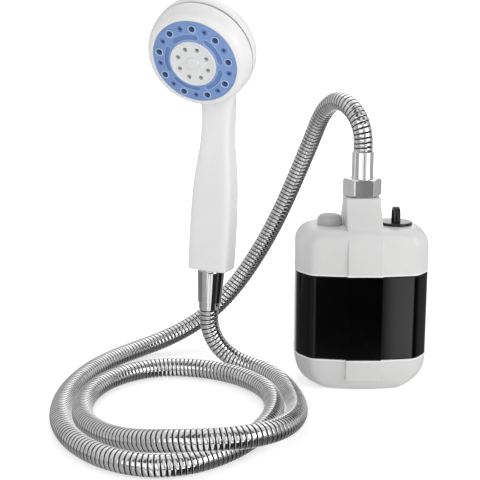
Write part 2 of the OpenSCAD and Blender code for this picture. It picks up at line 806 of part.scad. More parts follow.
// Handle and back of the head, moulded as one piece
module hand_body() {
    bore_z = grip_z - hand_thread;
    color(white) difference() {
        union() {
            in_hand() grip_loft();
            in_hand() translate([0, 0, bore_z]) cylinder(d = hand_thread_d, h = hand_thread + over);
            in_head() rotate_extrude() polygon(dome_profile(0));
        }
        in_head() difference() {
            rotate_extrude() polygon(dome_profile(hand_wall));
            translate([0, 0, boss_z]) cylinder(r = hub_r + 1, h = head_depth);
        }
        in_head() translate([0, 0, rim_z - over]) cylinder(d = spindle_d, h = head_depth - rim_z - 3);
        in_head() translate([0, 0, rim_z]) difference() {
            cylinder(r = seal_r_mid + seal_d / 2, h = seal_d - fit);
            translate([0, 0, -over]) cylinder(r = seal_r_mid - seal_d / 2, h = seal_d + 2 * over);
        }
        in_hand() translate([0, 0, bore_z - over])
            cylinder(d = water_d, h = over + hand_thread + grip_len + elbow_rise);
        in_hand() translate([0, 0, grip_top + over]) rotate([elbow_tilt, 0, 0])
            cylinder(d = water_d - 1.5, h = elbow_len);
    }
}

// Ring that seals the turning bezel
module head_seal() {
    color(black) in_head() translate([0, 0, rim_z + seal_d / 2 - fit]) rotate_extrude()
        translate([seal_r_mid, 0]) circle(d = seal_d - fit);
}

// Screw spindle that the face turns on
module face_spindle() {
    color(chrome) in_head() translate([0, 0, face_t])
        cylinder(d = spindle_d - 2 * run, h = head_depth - 3 - face_t - over);
}

// Fixed plate that sends the water to one set of holes
module diverter_plate() {
    color(grey) in_head() translate([0, 0, diverter_z]) difference() {
        cylinder(r = head_r - hand_wall - 2.6, h = diverter_t);
        translate([0, 0, -over]) cylinder(d = spindle_d, h = diverter_t + 2 * over);
        for (i = [0 : 5]) rotate(60 * i) translate([head_r / 2, 0, -over])
            cylinder(d = head_r / 6, h = diverter_t + 2 * over);
    }
}

// White bezel, turned by hand to change the spray
module head_bezel() {
    lip = ring_r + fit;
    outer = [
        [lip, 0], [lip + 2.2, 0.6], [lip + 4.2, 2.6], [head_r - 1.1, 0.46 * bezel_depth],
        [head_r - 0.3, 0.75 * bezel_depth], [head_r, bezel_depth]
    ];
    inner = [
        [head_r - hand_wall, bezel_depth], [head_r - hand_wall - 1, 0.6 * bezel_depth],
        [lip + 1.6, ledge_z + ledge_t],
        [lip - 2, ledge_z + ledge_t], [lip - 2, ledge_z], [lip, ledge_z]
    ];
    color(white) in_head() rotate_extrude() polygon(concat(outer, inner));
}

// Places of the nozzles: wide and narrow ones by turns
module nozzle_places(odd) {
    for (i = [0 : nozzle_count - 1]) rotate(360 * (i + odd / 2) / nozzle_count + nozzle_turn)
        translate([0, nozzle_pcd / 2, 0]) children();
}

// How far the crowned ring's front stands forward at radius r
function crown(r) = face_crown * (ring_r - r) / (ring_r - ring_in);

// Blue crowned ring with its nozzle holes and shallow curved recesses
module spray_ring() {
    front = face_crown + over;
    color(blue) in_head() translate([0, 0, ring_z]) difference() {
        rotate_extrude() polygon([[ring_in, -face_crown], [ring_r, 0], [ring_r, face_t], [ring_in, face_t]]);
        nozzle_places(1) translate([0, 0, -front])
            cylinder(d = nozzle_d + 2 * fit, h = face_t + front + over);
        nozzle_places(0) translate([0, 0, -front])
            cylinder(d = small_nozzle_d + 2 * fit, h = face_t + front + over);
        for (i = [0 : arc_count - 1]) rotate(360 * i / arc_count + arc_turn)
            translate([0, 0, -front]) rotate_extrude(angle = slot_span)
                translate([slot_pcd / 2 - slot_r, 0])
                    square([2 * slot_r, front + slot_depth - crown(slot_pcd / 2)]);
    }
}

// Soft nozzles set into the ring
module ring_nozzles() {
    rise = nozzle_rise + crown(nozzle_pcd / 2);
    color("#5f7fbd") in_head() translate([0, 0, ring_z - rise]) {
        nozzle_places(1) tube(nozzle_d / 2, nozzle_d / 2 - nozzle_wall, face_t + rise);
        nozzle_places(0) tube(small_nozzle_d / 2, small_nozzle_d / 2 - nozzle_wall, face_t + rise);
    }
}

// White disc in the middle, with its holes and the hub on the spindle
module middle_disc() {
    color(white) in_head() difference() {
        union() {
            translate([0, 0, -face_crown]) cylinder(r = middle_r, h = ledge_z + face_crown);
            translate([0, 0, ledge_z]) cylinder(r = middle_r + 2, h = ledge_t);
            cylinder(r = hub_r, h = hub_end);
        }
        translate([0, 0, face_t - over / 2]) cylinder(d = spindle_d, h = hub_end);
        for (i = [0 : jet_count - 1]) rotate(360 * (i + 0.5) / jet_count)
            translate([0, jet_pcd / 2, -face_crown - over])
                cylinder(d = jet_d, h = face_crown + ledge_z + ledge_t + 2 * over);
    }
}

module middle_cap() {
    color(white) in_head() translate([0, 0, -face_crown - cap_t]) cylinder(d = cap_d, h = cap_t);
}

upper_shell();
lower_shell();
grip_band();
intake_strainer();
chassis_plate();
chassis_screws();
pump_chamber();
motor();
shaft_seal();
motor_shaft();
impeller();
riser_tube();
battery_cells();
control_board();
power_switch();
power_button();
charge_socket();
charge_plug();
hose_nut();
hose_washer();
hose_ferrule();
hose_arch();
hose_coil();
hose_riser();
hand_ferrule();
hand_washer();
hand_nut();
hand_body();
head_seal();
face_spindle();
diverter_plate();
head_bezel();
spray_ring();
ring_nozzles();
middle_disc();
middle_cap();
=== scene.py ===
# Camp shower: a hand-sized pump, a ribbed steel hose and a hand shower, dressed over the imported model
import json
import math
import bmesh
import bpy
import numpy as np
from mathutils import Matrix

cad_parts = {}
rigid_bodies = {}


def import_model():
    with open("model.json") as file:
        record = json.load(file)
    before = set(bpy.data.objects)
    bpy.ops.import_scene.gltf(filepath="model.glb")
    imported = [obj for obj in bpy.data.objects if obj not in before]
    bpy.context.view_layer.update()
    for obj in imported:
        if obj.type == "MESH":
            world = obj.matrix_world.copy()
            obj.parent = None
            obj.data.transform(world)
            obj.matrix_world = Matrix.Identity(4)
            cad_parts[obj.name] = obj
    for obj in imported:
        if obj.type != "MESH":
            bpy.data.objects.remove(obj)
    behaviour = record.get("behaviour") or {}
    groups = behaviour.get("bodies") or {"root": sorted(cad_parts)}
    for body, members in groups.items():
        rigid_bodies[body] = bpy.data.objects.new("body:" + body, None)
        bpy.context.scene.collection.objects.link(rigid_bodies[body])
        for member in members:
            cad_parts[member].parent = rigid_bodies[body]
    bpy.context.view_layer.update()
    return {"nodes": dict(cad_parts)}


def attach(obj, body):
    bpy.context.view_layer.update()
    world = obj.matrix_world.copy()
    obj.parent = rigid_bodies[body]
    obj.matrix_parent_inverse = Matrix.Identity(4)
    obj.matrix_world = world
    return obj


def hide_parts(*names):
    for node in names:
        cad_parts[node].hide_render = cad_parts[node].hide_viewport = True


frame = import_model()
scene = bpy.context.scene
mm = 0.001  # shapes are worked out in millimetres
print("frame loaded:", len(frame["nodes"]), "nodes")

# camera at the photograph's height and angle
photoView = dict(place=(-84.5, -697.0, 249.2), lookDown=12.0, focalPixels=1019.0, framePixels=480.0,
                 sensor=36.0)


def makeCamera(v):
    # lens from the focal length in pixels: sensor x focal pixels / frame pixels; turned down from level
    data = bpy.data.cameras.new("photoCamera")
    data.sensor_width = v["sensor"]
    data.lens = v["sensor"] * v["focalPixels"] / v["framePixels"]
    camera = bpy.data.objects.new("photoCamera", data)
    camera.location = [c * mm for c in v["place"]]
    camera.rotation_euler = (math.radians(90 - v["lookDown"]), 0, 0)
    scene.collection.objects.link(camera)
    scene.camera = camera


makeCamera(photoView)


def pick(values, names):
    # the values under some names, in their order
    return [values[name] for name in names.split()]


def around(r, t, z):
    # radius r and height z at heading t about the axis: (r cos t, r sin t, z)
    return np.stack([r * np.cos(t), r * np.sin(t), z + 0 * r * t], axis=-1)


def quarter(count):
    # headings over a quarter of a turn
    return np.linspace(0, np.pi / 2, count)


def fullTurn(count):
    # headings once round; the last one is left out, being the first again
    return np.arange(count) * 2 * np.pi / count


def softPolygon(t, heading, distance, softness):
    # radius at heading t: the p-norm of every facet's cos(t - heading) / distance, turned over
    lean = np.maximum(0, np.cos(t[:, None] - heading)) / distance
    return np.sum(lean**softness, axis=1) ** (-1 / softness)


# surfaces: points[row, column] of two parameters, and the faces between them
def gridFaces(rows, cols, wrapRows, wrapCols):
    # each cell is a quad from its corner to the next row and column, wrapped where the parameter closes
    i, j = np.meshgrid(np.arange(rows - (not wrapRows)), np.arange(cols - (not wrapCols)), indexing="ij")
    iNext, jNext = (i + 1) % rows, (j + 1) % cols
    quads = np.stack([i * cols + j, i * cols + jNext, iNext * cols + jNext, iNext * cols + j], axis=-1)
    return quads.reshape(-1, 4).tolist()


def surface(points, wrapRows=False, wrapCols=True, caps=False):
    # a grid of points with one flat face over the first and the last row where caps is set
    rows, cols = points.shape[:2]
    faces = gridFaces(rows, cols, wrapRows, wrapCols)
    if caps:
        faces.append(np.arange(cols)[::-1].tolist())
        faces.append((np.arange(cols) + (rows - 1) * cols).tolist())
    return points.reshape(-1, 3), faces


def lathe(profile, cols=96, closed=False):
    # a profile of radius and height turned about the axis; a closed profile is a ring
    profile = np.asarray(profile, float)
    points = around(profile[:, :1], fullTurn(cols), profile[:, 1:])
    return surface(points, wrapRows=closed, caps=not closed)


def moved(shape, matrix):
    # a surface carried into another frame: its 3 x 3 turn, then its shift
    points, faces = shape
    return points @ matrix[:3, :3].T + matrix[:3, 3], faces


def turn(axis, degrees):
    # turn about one axis by an angle, as a 4 x 4 matrix
    c, s = math.cos(math.radians(degrees)), math.sin(math.radians(degrees))
    m = np.eye(4)
    a, b = {"x": (1, 2), "y": (2, 0), "z": (0, 1)}[axis]
    m[a, a], m[b, b], m[a, b], m[b, a] = c, c, -s, s
    return m


def shift(x, y, z):
    # a move along the three axes, as a 4 x 4 matrix
    m = np.eye(4)
    m[:3, 3] = (x, y, z)
    return m


def curveThrough(keys, count):
    # Catmull-Rom curve through the keys: cubics whose slopes are half the way between the neighbours
    keys = np.asarray(keys, float)
    padded = np.vstack([2 * keys[0] - keys[1], keys, 2 * keys[-1] - keys[-2]])
    u = np.linspace(0, len(keys) - 1, count)
    k = np.minimum(u.astype(int), len(keys) - 2)
    t = (u - k)[:, None]
    a, b, c, d = padded[k], padded[k + 1], padded[k + 2], padded[k + 3]
    return 0.5 * (2 * b + (c - a) * t + (2 * a - 5 * b + 4 * c - d) * t**2 + (3 * b - a - 3 * c + d) * t**3)


def roundedLoop(corners, steps=5):
    # corners (r, z, radius) become arcs: a quadratic curve between the two tangent points
    keys = np.asarray(corners, float)
    here, before, after = keys[:, :2], np.roll(keys[:, :2], 1, axis=0), np.roll(keys[:, :2], -1, axis=0)
    inward, onward = before - here, after - here
    lengthIn, lengthOn = np.linalg.norm(inward, axis=1), np.linalg.norm(onward, axis=1)
    cut = np.minimum(keys[:, 2], 0.45 * np.minimum(lengthIn, lengthOn))[:, None]
    start, end = here + inward / lengthIn[:, None] * cut, here + onward / lengthOn[:, None] * cut
    t = np.linspace(0, 1, steps)[None, :, None]
    arcs = (1 - t) ** 2 * start[:, None] + 2 * t * (1 - t) * here[:, None] + t**2 * end[:, None]
    arcs = arcs.reshape(-1, 2)
    return arcs[np.linalg.norm(arcs - np.roll(arcs, 1, axis=0), axis=1) > 1e-4]


def smoothStep(low, high, value):
    # 0 below low, 1 above high, and 3 t^2 - 2 t^3 between them
    t = np.clip((value - low) / (high - low), 0, 1)
    return t * t * (3 - 2 * t)


def polish(mesh, sharp):
    # smooth shading, sharp where two faces meet at more than the angle given
    mesh.polygons.foreach_set("use_smooth", np.ones(len(mesh.polygons), bool))
    mesh.set_sharp_from_angle(angle=math.radians(sharp))


def joined(shapes):
    # the shapes' points one after another, their face numbers moved up by the points before them
    first = np.cumsum([0] + [len(points) for points, _ in shapes]).tolist()
    faces = [[n + k for n in face] for (_, f), k in zip(shapes, first) for face in f]
    return np.concatenate([points for points, _ in shapes]), faces


def makePiece(name, shapes, sharp=38.0):
    # one mesh of all the shapes, from millimetres to metres
    points, faces = joined(shapes)
    mesh = bpy.data.meshes.new(name)
    mesh.from_pydata((points * mm).tolist(), [], faces)
    mesh.update()
    polish(mesh, sharp)
    piece = bpy.data.objects.new(name, mesh)
    scene.collection.objects.link(piece)
    return piece


def carve(piece, shapes, how, sharp=38.0):
    # union or difference with closed shapes, applied to the mesh
    tools = [makePiece("tool", [shape]) for shape in shapes]
    for tool in tools:
        mod = piece.modifiers.new(how, "BOOLEAN")
        mod.operation, mod.solver, mod.object = how, "EXACT", tool
    result = bpy.data.meshes.new_from_object(piece.evaluated_get(bpy.context.evaluated_depsgraph_get()))
    piece.modifiers.clear()
    oldMesh, piece.data = piece.data, result
    bpy.data.meshes.remove(oldMesh)
    for tool in tools:
        bpy.data.objects.remove(tool)
    result.name = piece.name
    polish(result, sharp)


def pointMask(piece, name, values):
    # a number at each point, for a finish to read
    mask = piece.data.attributes.new(name, "FLOAT", "POINT")
    mask.data.foreach_set("value", np.asarray(values, np.float32))


def place(piece, body, slot, *nodes):
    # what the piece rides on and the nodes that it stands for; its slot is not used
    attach(piece, body)
    if nodes:
        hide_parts(*nodes)


# ribbed steel hose, along the part's guide points with the inner turn moved out towards the outer one
steelHose = dict(diameter=13.4, length=1.349, pitch=3.1, grooveDepth=0.52, sides=26,
                 rib=((0.0, 1.0), (0.08, 0.6), (0.14, 0.14), (0.22, 0.03), (0.5, 0.0), (0.78, 0.03),
                      (0.86, 0.14), (0.92, 0.6)), mergeWithin=1e-6, sharp=180.0)
hoseRoute = np.array([
    (0, 0, 149), (0, 0, 163), (0, 0, 177), (-4, 5, 188), (-11, 16, 196), (-18, 33, 196), (-25, 49, 185),
    (-30, 61, 167), (-38, 70, 145), (-48, 76, 119), (-60, 80, 92), (-75, 80, 66), (-93, 77, 41),
    (-117, 70, 20), (-145, 57, 9), (-169, 36, 6.9), (-187, 7, 6.9), (-198, -27, 6.9), (-202, -63, 6.9),
    (-198, -100, 6.9), (-183, -134, 6.9), (-157, -160, 6.9), (-125, -169, 6.9), (-97, -153, 6.9),
    (-77, -127, 6.9), (-64.5, -98, 6.9), (-60.5, -68, 6.9), (-67.5, -37, 6.9), (-88, -12, 6.9),
    (-117, 3, 6.9), (-150, 2, 6.9), (-175.5, -20, 6.9), (-187, -52, 6.9), (-187, -85, 6.9),
    (-176, -115, 8.6), (-152, -148, 14), (-120, -166, 22.1), (-87, -165, 22.5), (-63, -150, 21),
    (-51, -120, 16), (-47, -84, 10), (-50, -50, 6.9), (-57, -23, 6.9), (-68, -3, 6.9), (-85, 5, 9),
    (-100, 6, 20), (-107.3, 6, 36), (-106.5, 6, 50), (-105.7, 6, 64)], float)


def hoseLine(route, steps=32):
    # uniform cubic B-spline of the guide points, mirrored at its ends
    guide = np.vstack([2 * route[0] - route[1], route, 2 * route[-1] - route[-2]])
    t = (np.arange(steps) / steps)[None, :, None]
    a, b, c, d = guide[:-3, None], guide[1:-2, None], guide[2:-1, None], guide[3:, None]
    line = (1 - t) ** 3 * a + (3 * t**3 - 6 * t**2 + 4) * b + (1 + 3 * t + 3 * t**2 - 3 * t**3) * c + t**3 * d
    return np.vstack([line.reshape(-1, 3) / 6, route[-1:]])


def unit(v):
    # each vector over its own length
    return v / np.linalg.norm(v, axis=-1, keepdims=True)


def hoseFrames(line):
    # a side direction carried along the line without twist: each step drops what lies along the new heading
    heading = unit(np.gradient(line, axis=0))
    side = np.empty_like(line)
    v = np.array((0.0, 1.0, 0.0))
    for k, h in enumerate(heading):
        v = unit(v - v.dot(h) * h)
        side[k] = v
    return heading, side


def ribbedTube(h, line):
    # a rib wound along the line as a screw: at angle t the rib sits t / full turn of a pitch further on;
    # the radius is the hose's less the groove's depth times the rib's profile
    heading, side = hoseFrames(line)
    reach = np.concatenate([[0], np.cumsum(np.linalg.norm(np.diff(line, axis=0), axis=1))])
    phase, dip = np.array(h["rib"]).T
    ribs = int(reach[-1] / h["pitch"])
    pitch = reach[-1] / ribs
    turns = np.append((np.arange(-1, ribs)[:, None] + phase).reshape(-1), ribs)
    dips = np.append(np.tile(dip, ribs + 1), 1.0)
    t = np.arange(h["sides"]) / h["sides"]
    s = (turns[:, None] + t) * pitch
    dips = np.where((s <= 0) | (s >= reach[-1]), 1.0, dips[:, None])
    s = np.clip(s, 0, reach[-1])
    at = lambda values: np.stack([np.interp(s, reach, values[:, k]) for k in range(3)], axis=-1)
    centre, along, across = at(line), unit(at(heading)), at(side)
    across = unit(across - np.sum(across * along, axis=-1, keepdims=True) * along)
    up = np.cross(along, across)
    radius = (h["diameter"] / 2 - h["grooveDepth"] * dips)[..., None]
    angle = (2 * np.pi * t)[None, :, None]
    points = centre + radius * (np.cos(angle) * across + np.sin(angle) * up)
    rows, cols, perTurn = len(turns), h["sides"], len(phase)
    # the last column joins the first one a whole rib further on
    k = np.arange(rows - 1 - perTurn)
    seam = np.stack([k * cols + cols - 1, (k + perTurn) * cols, (k + 1 + perTurn) * cols,
                     (k + 1) * cols + cols - 1], axis=-1)
    faces = gridFaces(rows, cols, False, False) + seam.tolist()
    return points.reshape(-1, 3), faces, dips.reshape(-1)


def closeTube(piece, h):
    # points that fell together at the two ends are merged, and the ends closed
    bm = bmesh.new()
    bm.from_mesh(piece.data)
    bmesh.ops.remove_doubles(bm, verts=bm.verts, dist=h["mergeWithin"])
    bmesh.ops.dissolve_degenerate(bm, edges=bm.edges, dist=h["mergeWithin"])
    bmesh.ops.holes_fill(bm, edges=[e for e in bm.edges if e.is_boundary], sides=0)
    bmesh.ops.recalc_face_normals(bm, faces=bm.faces)
    bm.to_mesh(piece.data)
    bm.free()
    polish(piece.data, h["sharp"])


line = hoseLine(hoseRoute)
tubePoints, tubeFaces, tubeDips = ribbedTube(steelHose, line)
hose = makePiece("steelHose", [(tubePoints, tubeFaces)], steelHose["sharp"])
# the groove mask marks where the finish paints shade between the ribs
pointMask(hose, "groove", tubeDips)
closeTube(hose, steelHose)
place(hose, "set", "hose_steel", "hose_arch", "hose_coil", "hose_riser")
print("hose:", len(hose.data.polygons), "faces")

# the pump's plan: a soft polygon of flat facets, each given by its heading and its distance from the middle
pumpBody = dict(halfWide=46.5, halfDeep=31.5, softness=44.0, columns=216,
                facets=((90.0, 31.5), (80.8, 33.0), (36.2, 45.35), (3.5, 46.4)),
                panelHalf=12.0, panelY=32.7, panelEdge=0.28, panelFrom=15.0, edgeColumns=13, edgeReach=0.022,
                shoulderTop=112.5, shoulder=12.0, shoulderFront=6.0, wall=2.4, bandFoot=23.5, bandTop=82.0,
                seat=1.3, gap=0.1, bead=0.3, beadWide=1.2, beadFoot=0.12, sharp=32.0)


def pumpPlan(b):
    # the facets of one quarter are mirrored to all four, and each heading is kept once
    heading, distance = np.array(b["facets"]).T
    heading = np.radians(heading)
    heading = np.concatenate([heading, np.pi - heading, np.pi + heading, -heading])
    distance = np.tile(distance, 4)
    compass = np.round(np.stack([np.cos(heading), np.sin(heading)], 1), 6)
    keep = np.unique(compass, axis=0, return_index=True)[1]
    # more columns where the panel's four edges pass
    edge = math.atan2(b["halfDeep"], b["panelHalf"])
    near = np.linspace(-b["edgeReach"], b["edgeReach"], b["edgeColumns"])
    t = np.concatenate([fullTurn(b["columns"])]
                       + [e + near for e in (edge, np.pi - edge, np.pi + edge, 2 * np.pi - edge)])
    t = np.unique(np.round(t, 5))
    r = softPolygon(t, heading[keep], distance[keep], b["softness"])
    return r * np.cos(t), r * np.sin(t)


planX, planY = pumpPlan(pumpBody)


def pumpRings(sideIn, frontIn, z):
    # the plan drawn in by sideIn across and frontIn along the depth, at height z
    sideIn, frontIn, z = (np.asarray(a, float)[:, None] for a in (sideIn, frontIn, z))
    x = planX * (1 - sideIn / pumpBody["halfWide"])
    y = planY * (1 - frontIn / pumpBody["halfDeep"])
    return np.stack([x, y, z + 0 * planX], axis=-1)


def raisePanel(points, level, weight):
    # between the panel's edges the front and the back move out to the panel's plane
    half, edge = pumpBody["panelHalf"], pumpBody["panelEdge"]
    inside = 1 - smoothStep(half - edge, half + edge, np.abs(points[..., 0]))
    y = points[..., 1]
    out = y + (np.sign(y) * level[:, None] - y) * inside * weight[:, None]
    points[..., 1] = np.where(np.abs(y) > pumpBody["panelFrom"], out, y)


def rectRing(halfX, halfY, radius, steps=6):
    # a rectangle with round corners: four corner centres, each with a quarter circle about it
    a = quarter(steps)
    angle = np.concatenate([a, a + np.pi / 2, a + np.pi, a + 1.5 * np.pi])
    signX = np.repeat([1, -1, -1, 1], steps)
    signY = np.repeat([1, 1, -1, -1], steps)
    halfX, halfY, radius = (np.asarray(v, float)[:, None] for v in (halfX, halfY, radius))
    x = signX * (halfX - radius) + radius * np.cos(angle)
    return x, signY * (halfY - radius) + radius * np.sin(angle)


outletNeck = dict(halfWide=12.0, foot=82.0, bend=105.5, slopeTop=129.0, top=132.5, edge=0.9, thread=20.9,
                  threadTop=140.0, threadPitch=1.8, threadDepth=0.6, threadEnd=(0.3, 0.6, 0.9), bendSoft=4.0)


def beadLine(b, edge):
    # a bead along an edge: half a sine wave out of the wall, from the edge upwards
    h = np.linspace(0, 1, 7)
    return b["bead"] * np.sin(np.pi * h) - b["beadFoot"] * (h == 0), edge + b["beadWide"] * h


def neckBlock(n):
    # rounded rectangles up the neck: as deep as the panel, then sloping in to a square
    foot, bend, slopeTop, top, edge, half = pick(n, "foot bend slopeTop top edge halfWide")
    bead, beadZ = beadLine(pumpBody, foot + pumpBody["gap"])
    z = np.concatenate([beadZ, np.linspace(foot + 2.5, bend - 1.6, 6), bend + np.linspace(-1.2, 1.2, 5),
                        np.linspace(bend + 2, slopeTop - 1.6, 14), slopeTop + np.linspace(-1.2, 1.2, 5),
                        top - edge * (1 - np.sin(quarter(6)))])
    slope = (pumpBody["panelY"] - half) / (slopeTop - bend)
    soft = lambda v: 0.5 * (v + np.sqrt(v * v + n["bendSoft"] ** 2))
    depth = pumpBody["panelY"] - slope * (soft(z - bend) - soft(z - slopeTop))
    arc = edge - np.sqrt(np.maximum(0, edge**2 - (z - top + edge) ** 2))
    drawIn = np.where(z > top - edge, arc, 0) - np.concatenate([bead, np.zeros(len(z) - len(bead))])
    x, y = rectRing(half - drawIn, depth - drawIn, np.maximum(0.2, edge - 0.6 * drawIn))
    return surface(np.stack([x, y, z[:, None] + 0 * x], axis=-1), caps=True)


def neckThread(n):
    # radius of a round thread, as rings: a cosine along the height
    z = np.linspace(n["top"] - 1, n["threadTop"], 60)
    r = n["thread"] / 2 - n["threadDepth"] / 2 * (1 + np.cos(2 * np.pi * z / n["threadPitch"]))
    r[-3:] -= n["threadEnd"]
    return lathe(np.stack([r, z], 1), 64)


def pumpTopShell(b):
    # plan insets and heights: skirt under the band, bead along it, shoulder; and the room within the wall
    s, wall, seat, bandFoot, bandTop = pick(b, "shoulder wall seat bandFoot bandTop")
    a = quarter(13)
    low, frontShare = b["shoulderTop"] - s, b["shoulderFront"] / s
    inner, lip = s - wall, bandTop + b["gap"]
    bead, beadZ = beadLine(b, lip)
    curl = 1 - np.cos(a)
    start = np.concatenate([[seat, seat], -bead, [0.0, 0.0]])
    outerZ = np.concatenate([[bandFoot + 0.4, lip], beadZ, [lip + 6, low - 1], low + s * np.sin(a)])
    outer = pumpRings(np.concatenate([start, s * curl]),
                      np.concatenate([start, s * frontShare * curl]), outerZ)
    start = [seat + wall, seat + wall, wall]
    innerZ = np.concatenate([[bandFoot - 2, bandTop, bandTop + wall], low + inner * np.sin(a)])
    room = pumpRings(np.concatenate([start, wall + inner * curl]),
                     np.concatenate([start, wall + inner * frontShare * curl]), innerZ)
    return surface(outer, caps=True), surface(room, caps=True)


topSolid, topRoom = pumpTopShell(pumpBody)
pumpTop = makePiece("pumpTop", [topSolid])
powerKey = dict(x=-22.0, radius=8.6, top=120.5, edge=4.0, flangeRadius=10.3, foot=107.8, flangeTop=109.8,
                room=0.3, pin=(2.4, 1.8), pinTop=2.5, side=3.7, crown=0.7)
plugCap = dict(x=24.0, radius=11.3, foot=112.5, top=114.5, stem=6.0, stemFoot=103.5, pinHole=1.6, room=0.3,
               loopMid=4.7, loopWall=1.0, loopHalfWide=2.2, loopRise=4.7, loopRound=0.55,
               loopTurn=93.0, loopSunk=0.8, pinDepth=6.0)
riserHole = dict(radius=6.1, low=100.0, high=150.0)
capHoles = dict(low=104.0, high=117.0)


def rod(radius, low, high, x=0.0, y=0.0, cols=32):
    # a round rod along the axis through (x, y)
    return moved(lathe([(radius, low), (radius, high)], cols), shift(x, y, 0))


def pumpHole(radius, x, low, high):
    # a rod with more sides, for the holes in the pump
    return rod(radius, low, high, x, cols=64)


def capHole(radius, cap):
    # a hole through the shell, with room round what sits in it
    return pumpHole(radius + cap["room"], cap["x"], capHoles["low"], capHoles["high"])


carve(pumpTop, [neckBlock(outletNeck), neckThread(outletNeck)], "UNION", pumpBody["sharp"])
carve(pumpTop, [topRoom, pumpHole(riserHole["radius"], 0, riserHole["low"], riserHole["high"]),
                capHole(powerKey["radius"], powerKey), capHole(plugCap["stem"], plugCap)],
      "DIFFERENCE", pumpBody["sharp"])
place(pumpTop, "set", "white_plastic", "upper_shell")
print("pump top:", len(pumpTop.data.polygons), "faces")

pumpFoot = dict(round=20.0, frontIn=8.0, panelFoot=8.6, panelEdge=0.35, intakeX=-20.5, intakeHole=8.0,
                strainerSeat=10.1, strainerFoot=0.8, holeLow=-2.0, holeTop=6.0,
                rowSpans=((np.pi / 2, 0.7, 10), (0.66, 0.52, 12), (0.48, 0, 7)))  # close rows at the ledge


def pumpFootShell(b, f):
    # a cup: quarter ellipses from the flat base up the sides, then the same within; the panel ends in a ledge
    a = np.concatenate([np.linspace(*span) for span in f["rowSpans"]])
    r, frontIn, panelFoot, edge = pick(f, "round frontIn panelFoot panelEdge")
    w, top = b["wall"], b["bandFoot"] - b["gap"]
    bead, rise = (line[::-1] for line in beadLine(b, 0.0))
    outerZ = np.concatenate([r * (1 - np.sin(a)), [top - 2.0], top - rise])
    side, front = (np.concatenate([k * (1 - np.cos(a)), [0], -bead]) for k in (r, frontIn))
    outer = pumpRings(side, front, outerZ)
    level = b["panelY"] + np.concatenate([np.zeros(len(outerZ) - len(bead)), bead])
    raisePanel(outer, level, smoothStep(panelFoot - edge, panelFoot + edge, outerZ))
    inner, a = r - w, quarter(10)
    side, front = (np.concatenate([[w], w + k * (1 - np.cos(a))]) for k in (inner, frontIn * inner / r))
    within = pumpRings(side, front, np.concatenate([[top], r - inner * np.sin(a)]))
    return surface(np.concatenate([outer, within]), caps=True)


foot = makePiece("pumpFoot", [pumpFootShell(pumpBody, pumpFoot)])
holeX, holeLow, holeTop, strainerFoot = pick(pumpFoot, "intakeX holeLow holeTop strainerFoot")
carve(foot, [pumpHole(pumpFoot["intakeHole"], holeX, holeLow, holeTop),
             pumpHole(pumpFoot["strainerSeat"], holeX, strainerFoot, holeTop)],
      "DIFFERENCE", pumpBody["sharp"])
place(foot, "set", "white_plastic", "lower_shell")

gripBand = dict(wall=1.2, edge=0.45, support=0.3, sharp=30.0)


def bandSleeve(b, g):
    # closed profile: outside with small round edges, then the inside, with the panel raised on the outside
    e = g["edge"]
    arc = e * (1 - np.cos(quarter(5)))
    rise = e * np.sin(quarter(5))
    low, high = b["bandFoot"], b["bandTop"]
    outIn = np.concatenate([arc[::-1], np.zeros(5), arc])
    flat = np.linspace(low + e + g["support"], high - e - g["support"], 5)
    outZ = np.concatenate([low + e - rise[::-1], flat, high - e + rise])
    outer = pumpRings(outIn, outIn, outZ)
    raisePanel(outer, b["panelY"] - outIn, np.ones(len(outZ)))
    within = pumpRings([g["wall"]] * 2, [g["wall"]] * 2, [high, low])
    return surface(np.concatenate([outer, within]), wrapRows=True)


band = makePiece("gripBand", [bandSleeve(pumpBody, gripBand)], gripBand["sharp"])
place(band, "set", "black_plastic", "grip_band")


def keyShape(k):
    # lathe: flange under the shell, straight side, round edge and a faintly domed top
    a = quarter(9)
    r, e, top, foot, flange, flangeTop = pick(k, "radius edge top foot flangeRadius flangeTop")
    edgeTop = top - k["crown"]
    pin, pinLong = k["pin"]
    dome = curveThrough([(r - e, edgeTop), (r - e - 1.6, top - 0.35), (1.6, top - 0.02), (0.4, top)], 10)
    return lathe(np.concatenate([
        [(pin, foot - pinLong), (k["pinTop"], foot), (flange, foot), (flange, flangeTop), (r, flangeTop),
         (r, flangeTop + k["side"])],
        np.stack([r - e * (1 - np.cos(a)), edgeTop - e + e * np.sin(a)], 1), dome[1:]]), 72)


key = makePiece("powerKey", [moved(keyShape(powerKey), shift(powerKey["x"], 0, 0))])
place(key, "button", "button_rubber", "power_button")


def plugFlange(p):
    # lathe: blind pin hole, stem, and a flange with round edges
    top, foot, r, stem, stemFoot, pin = pick(p, "top foot radius stem stemFoot pinHole")
    pinEnd = stemFoot + p["pinDepth"]
    return lathe(roundedLoop([
        (0.3, pinEnd, 0), (pin, pinEnd, 0.2), (pin, stemFoot, 0.3), (stem, stemFoot, 0.8),
        (stem, foot, 0.3), (r, foot, 0.4), (r, top, 0.7), (r - 1.2, top + 0.01, 0), (r - 2.0, top + 0.02, 0),
        (0.3, top + 0.1, 0)]), 72)


def pullLoop(p):
    # a rounded strap carried over an arch: legs straight up, then half a circle
    middle, wall, half, rise, top = pick(p, "loopMid loopWall loopHalfWide loopRise top")
    legs = np.linspace(-rise - p["loopSunk"], 0, 4)
    a = np.linspace(0, np.pi, 25)[1:-1]
    outX = np.concatenate([np.ones(4), np.cos(a), -np.ones(4)])[:, None]
    outZ = np.concatenate([np.zeros(4), np.sin(a), np.zeros(4)])[:, None]
    z = np.concatenate([legs, middle * np.sin(a), legs[::-1]])[:, None] + rise
    u, v = rectRing([wall], [half], [p["loopRound"]], 4)
    points = np.stack([middle * outX + outX * u, v + 0 * outX, top + z + outZ * u], axis=-1)
    return surface(points, caps=True)


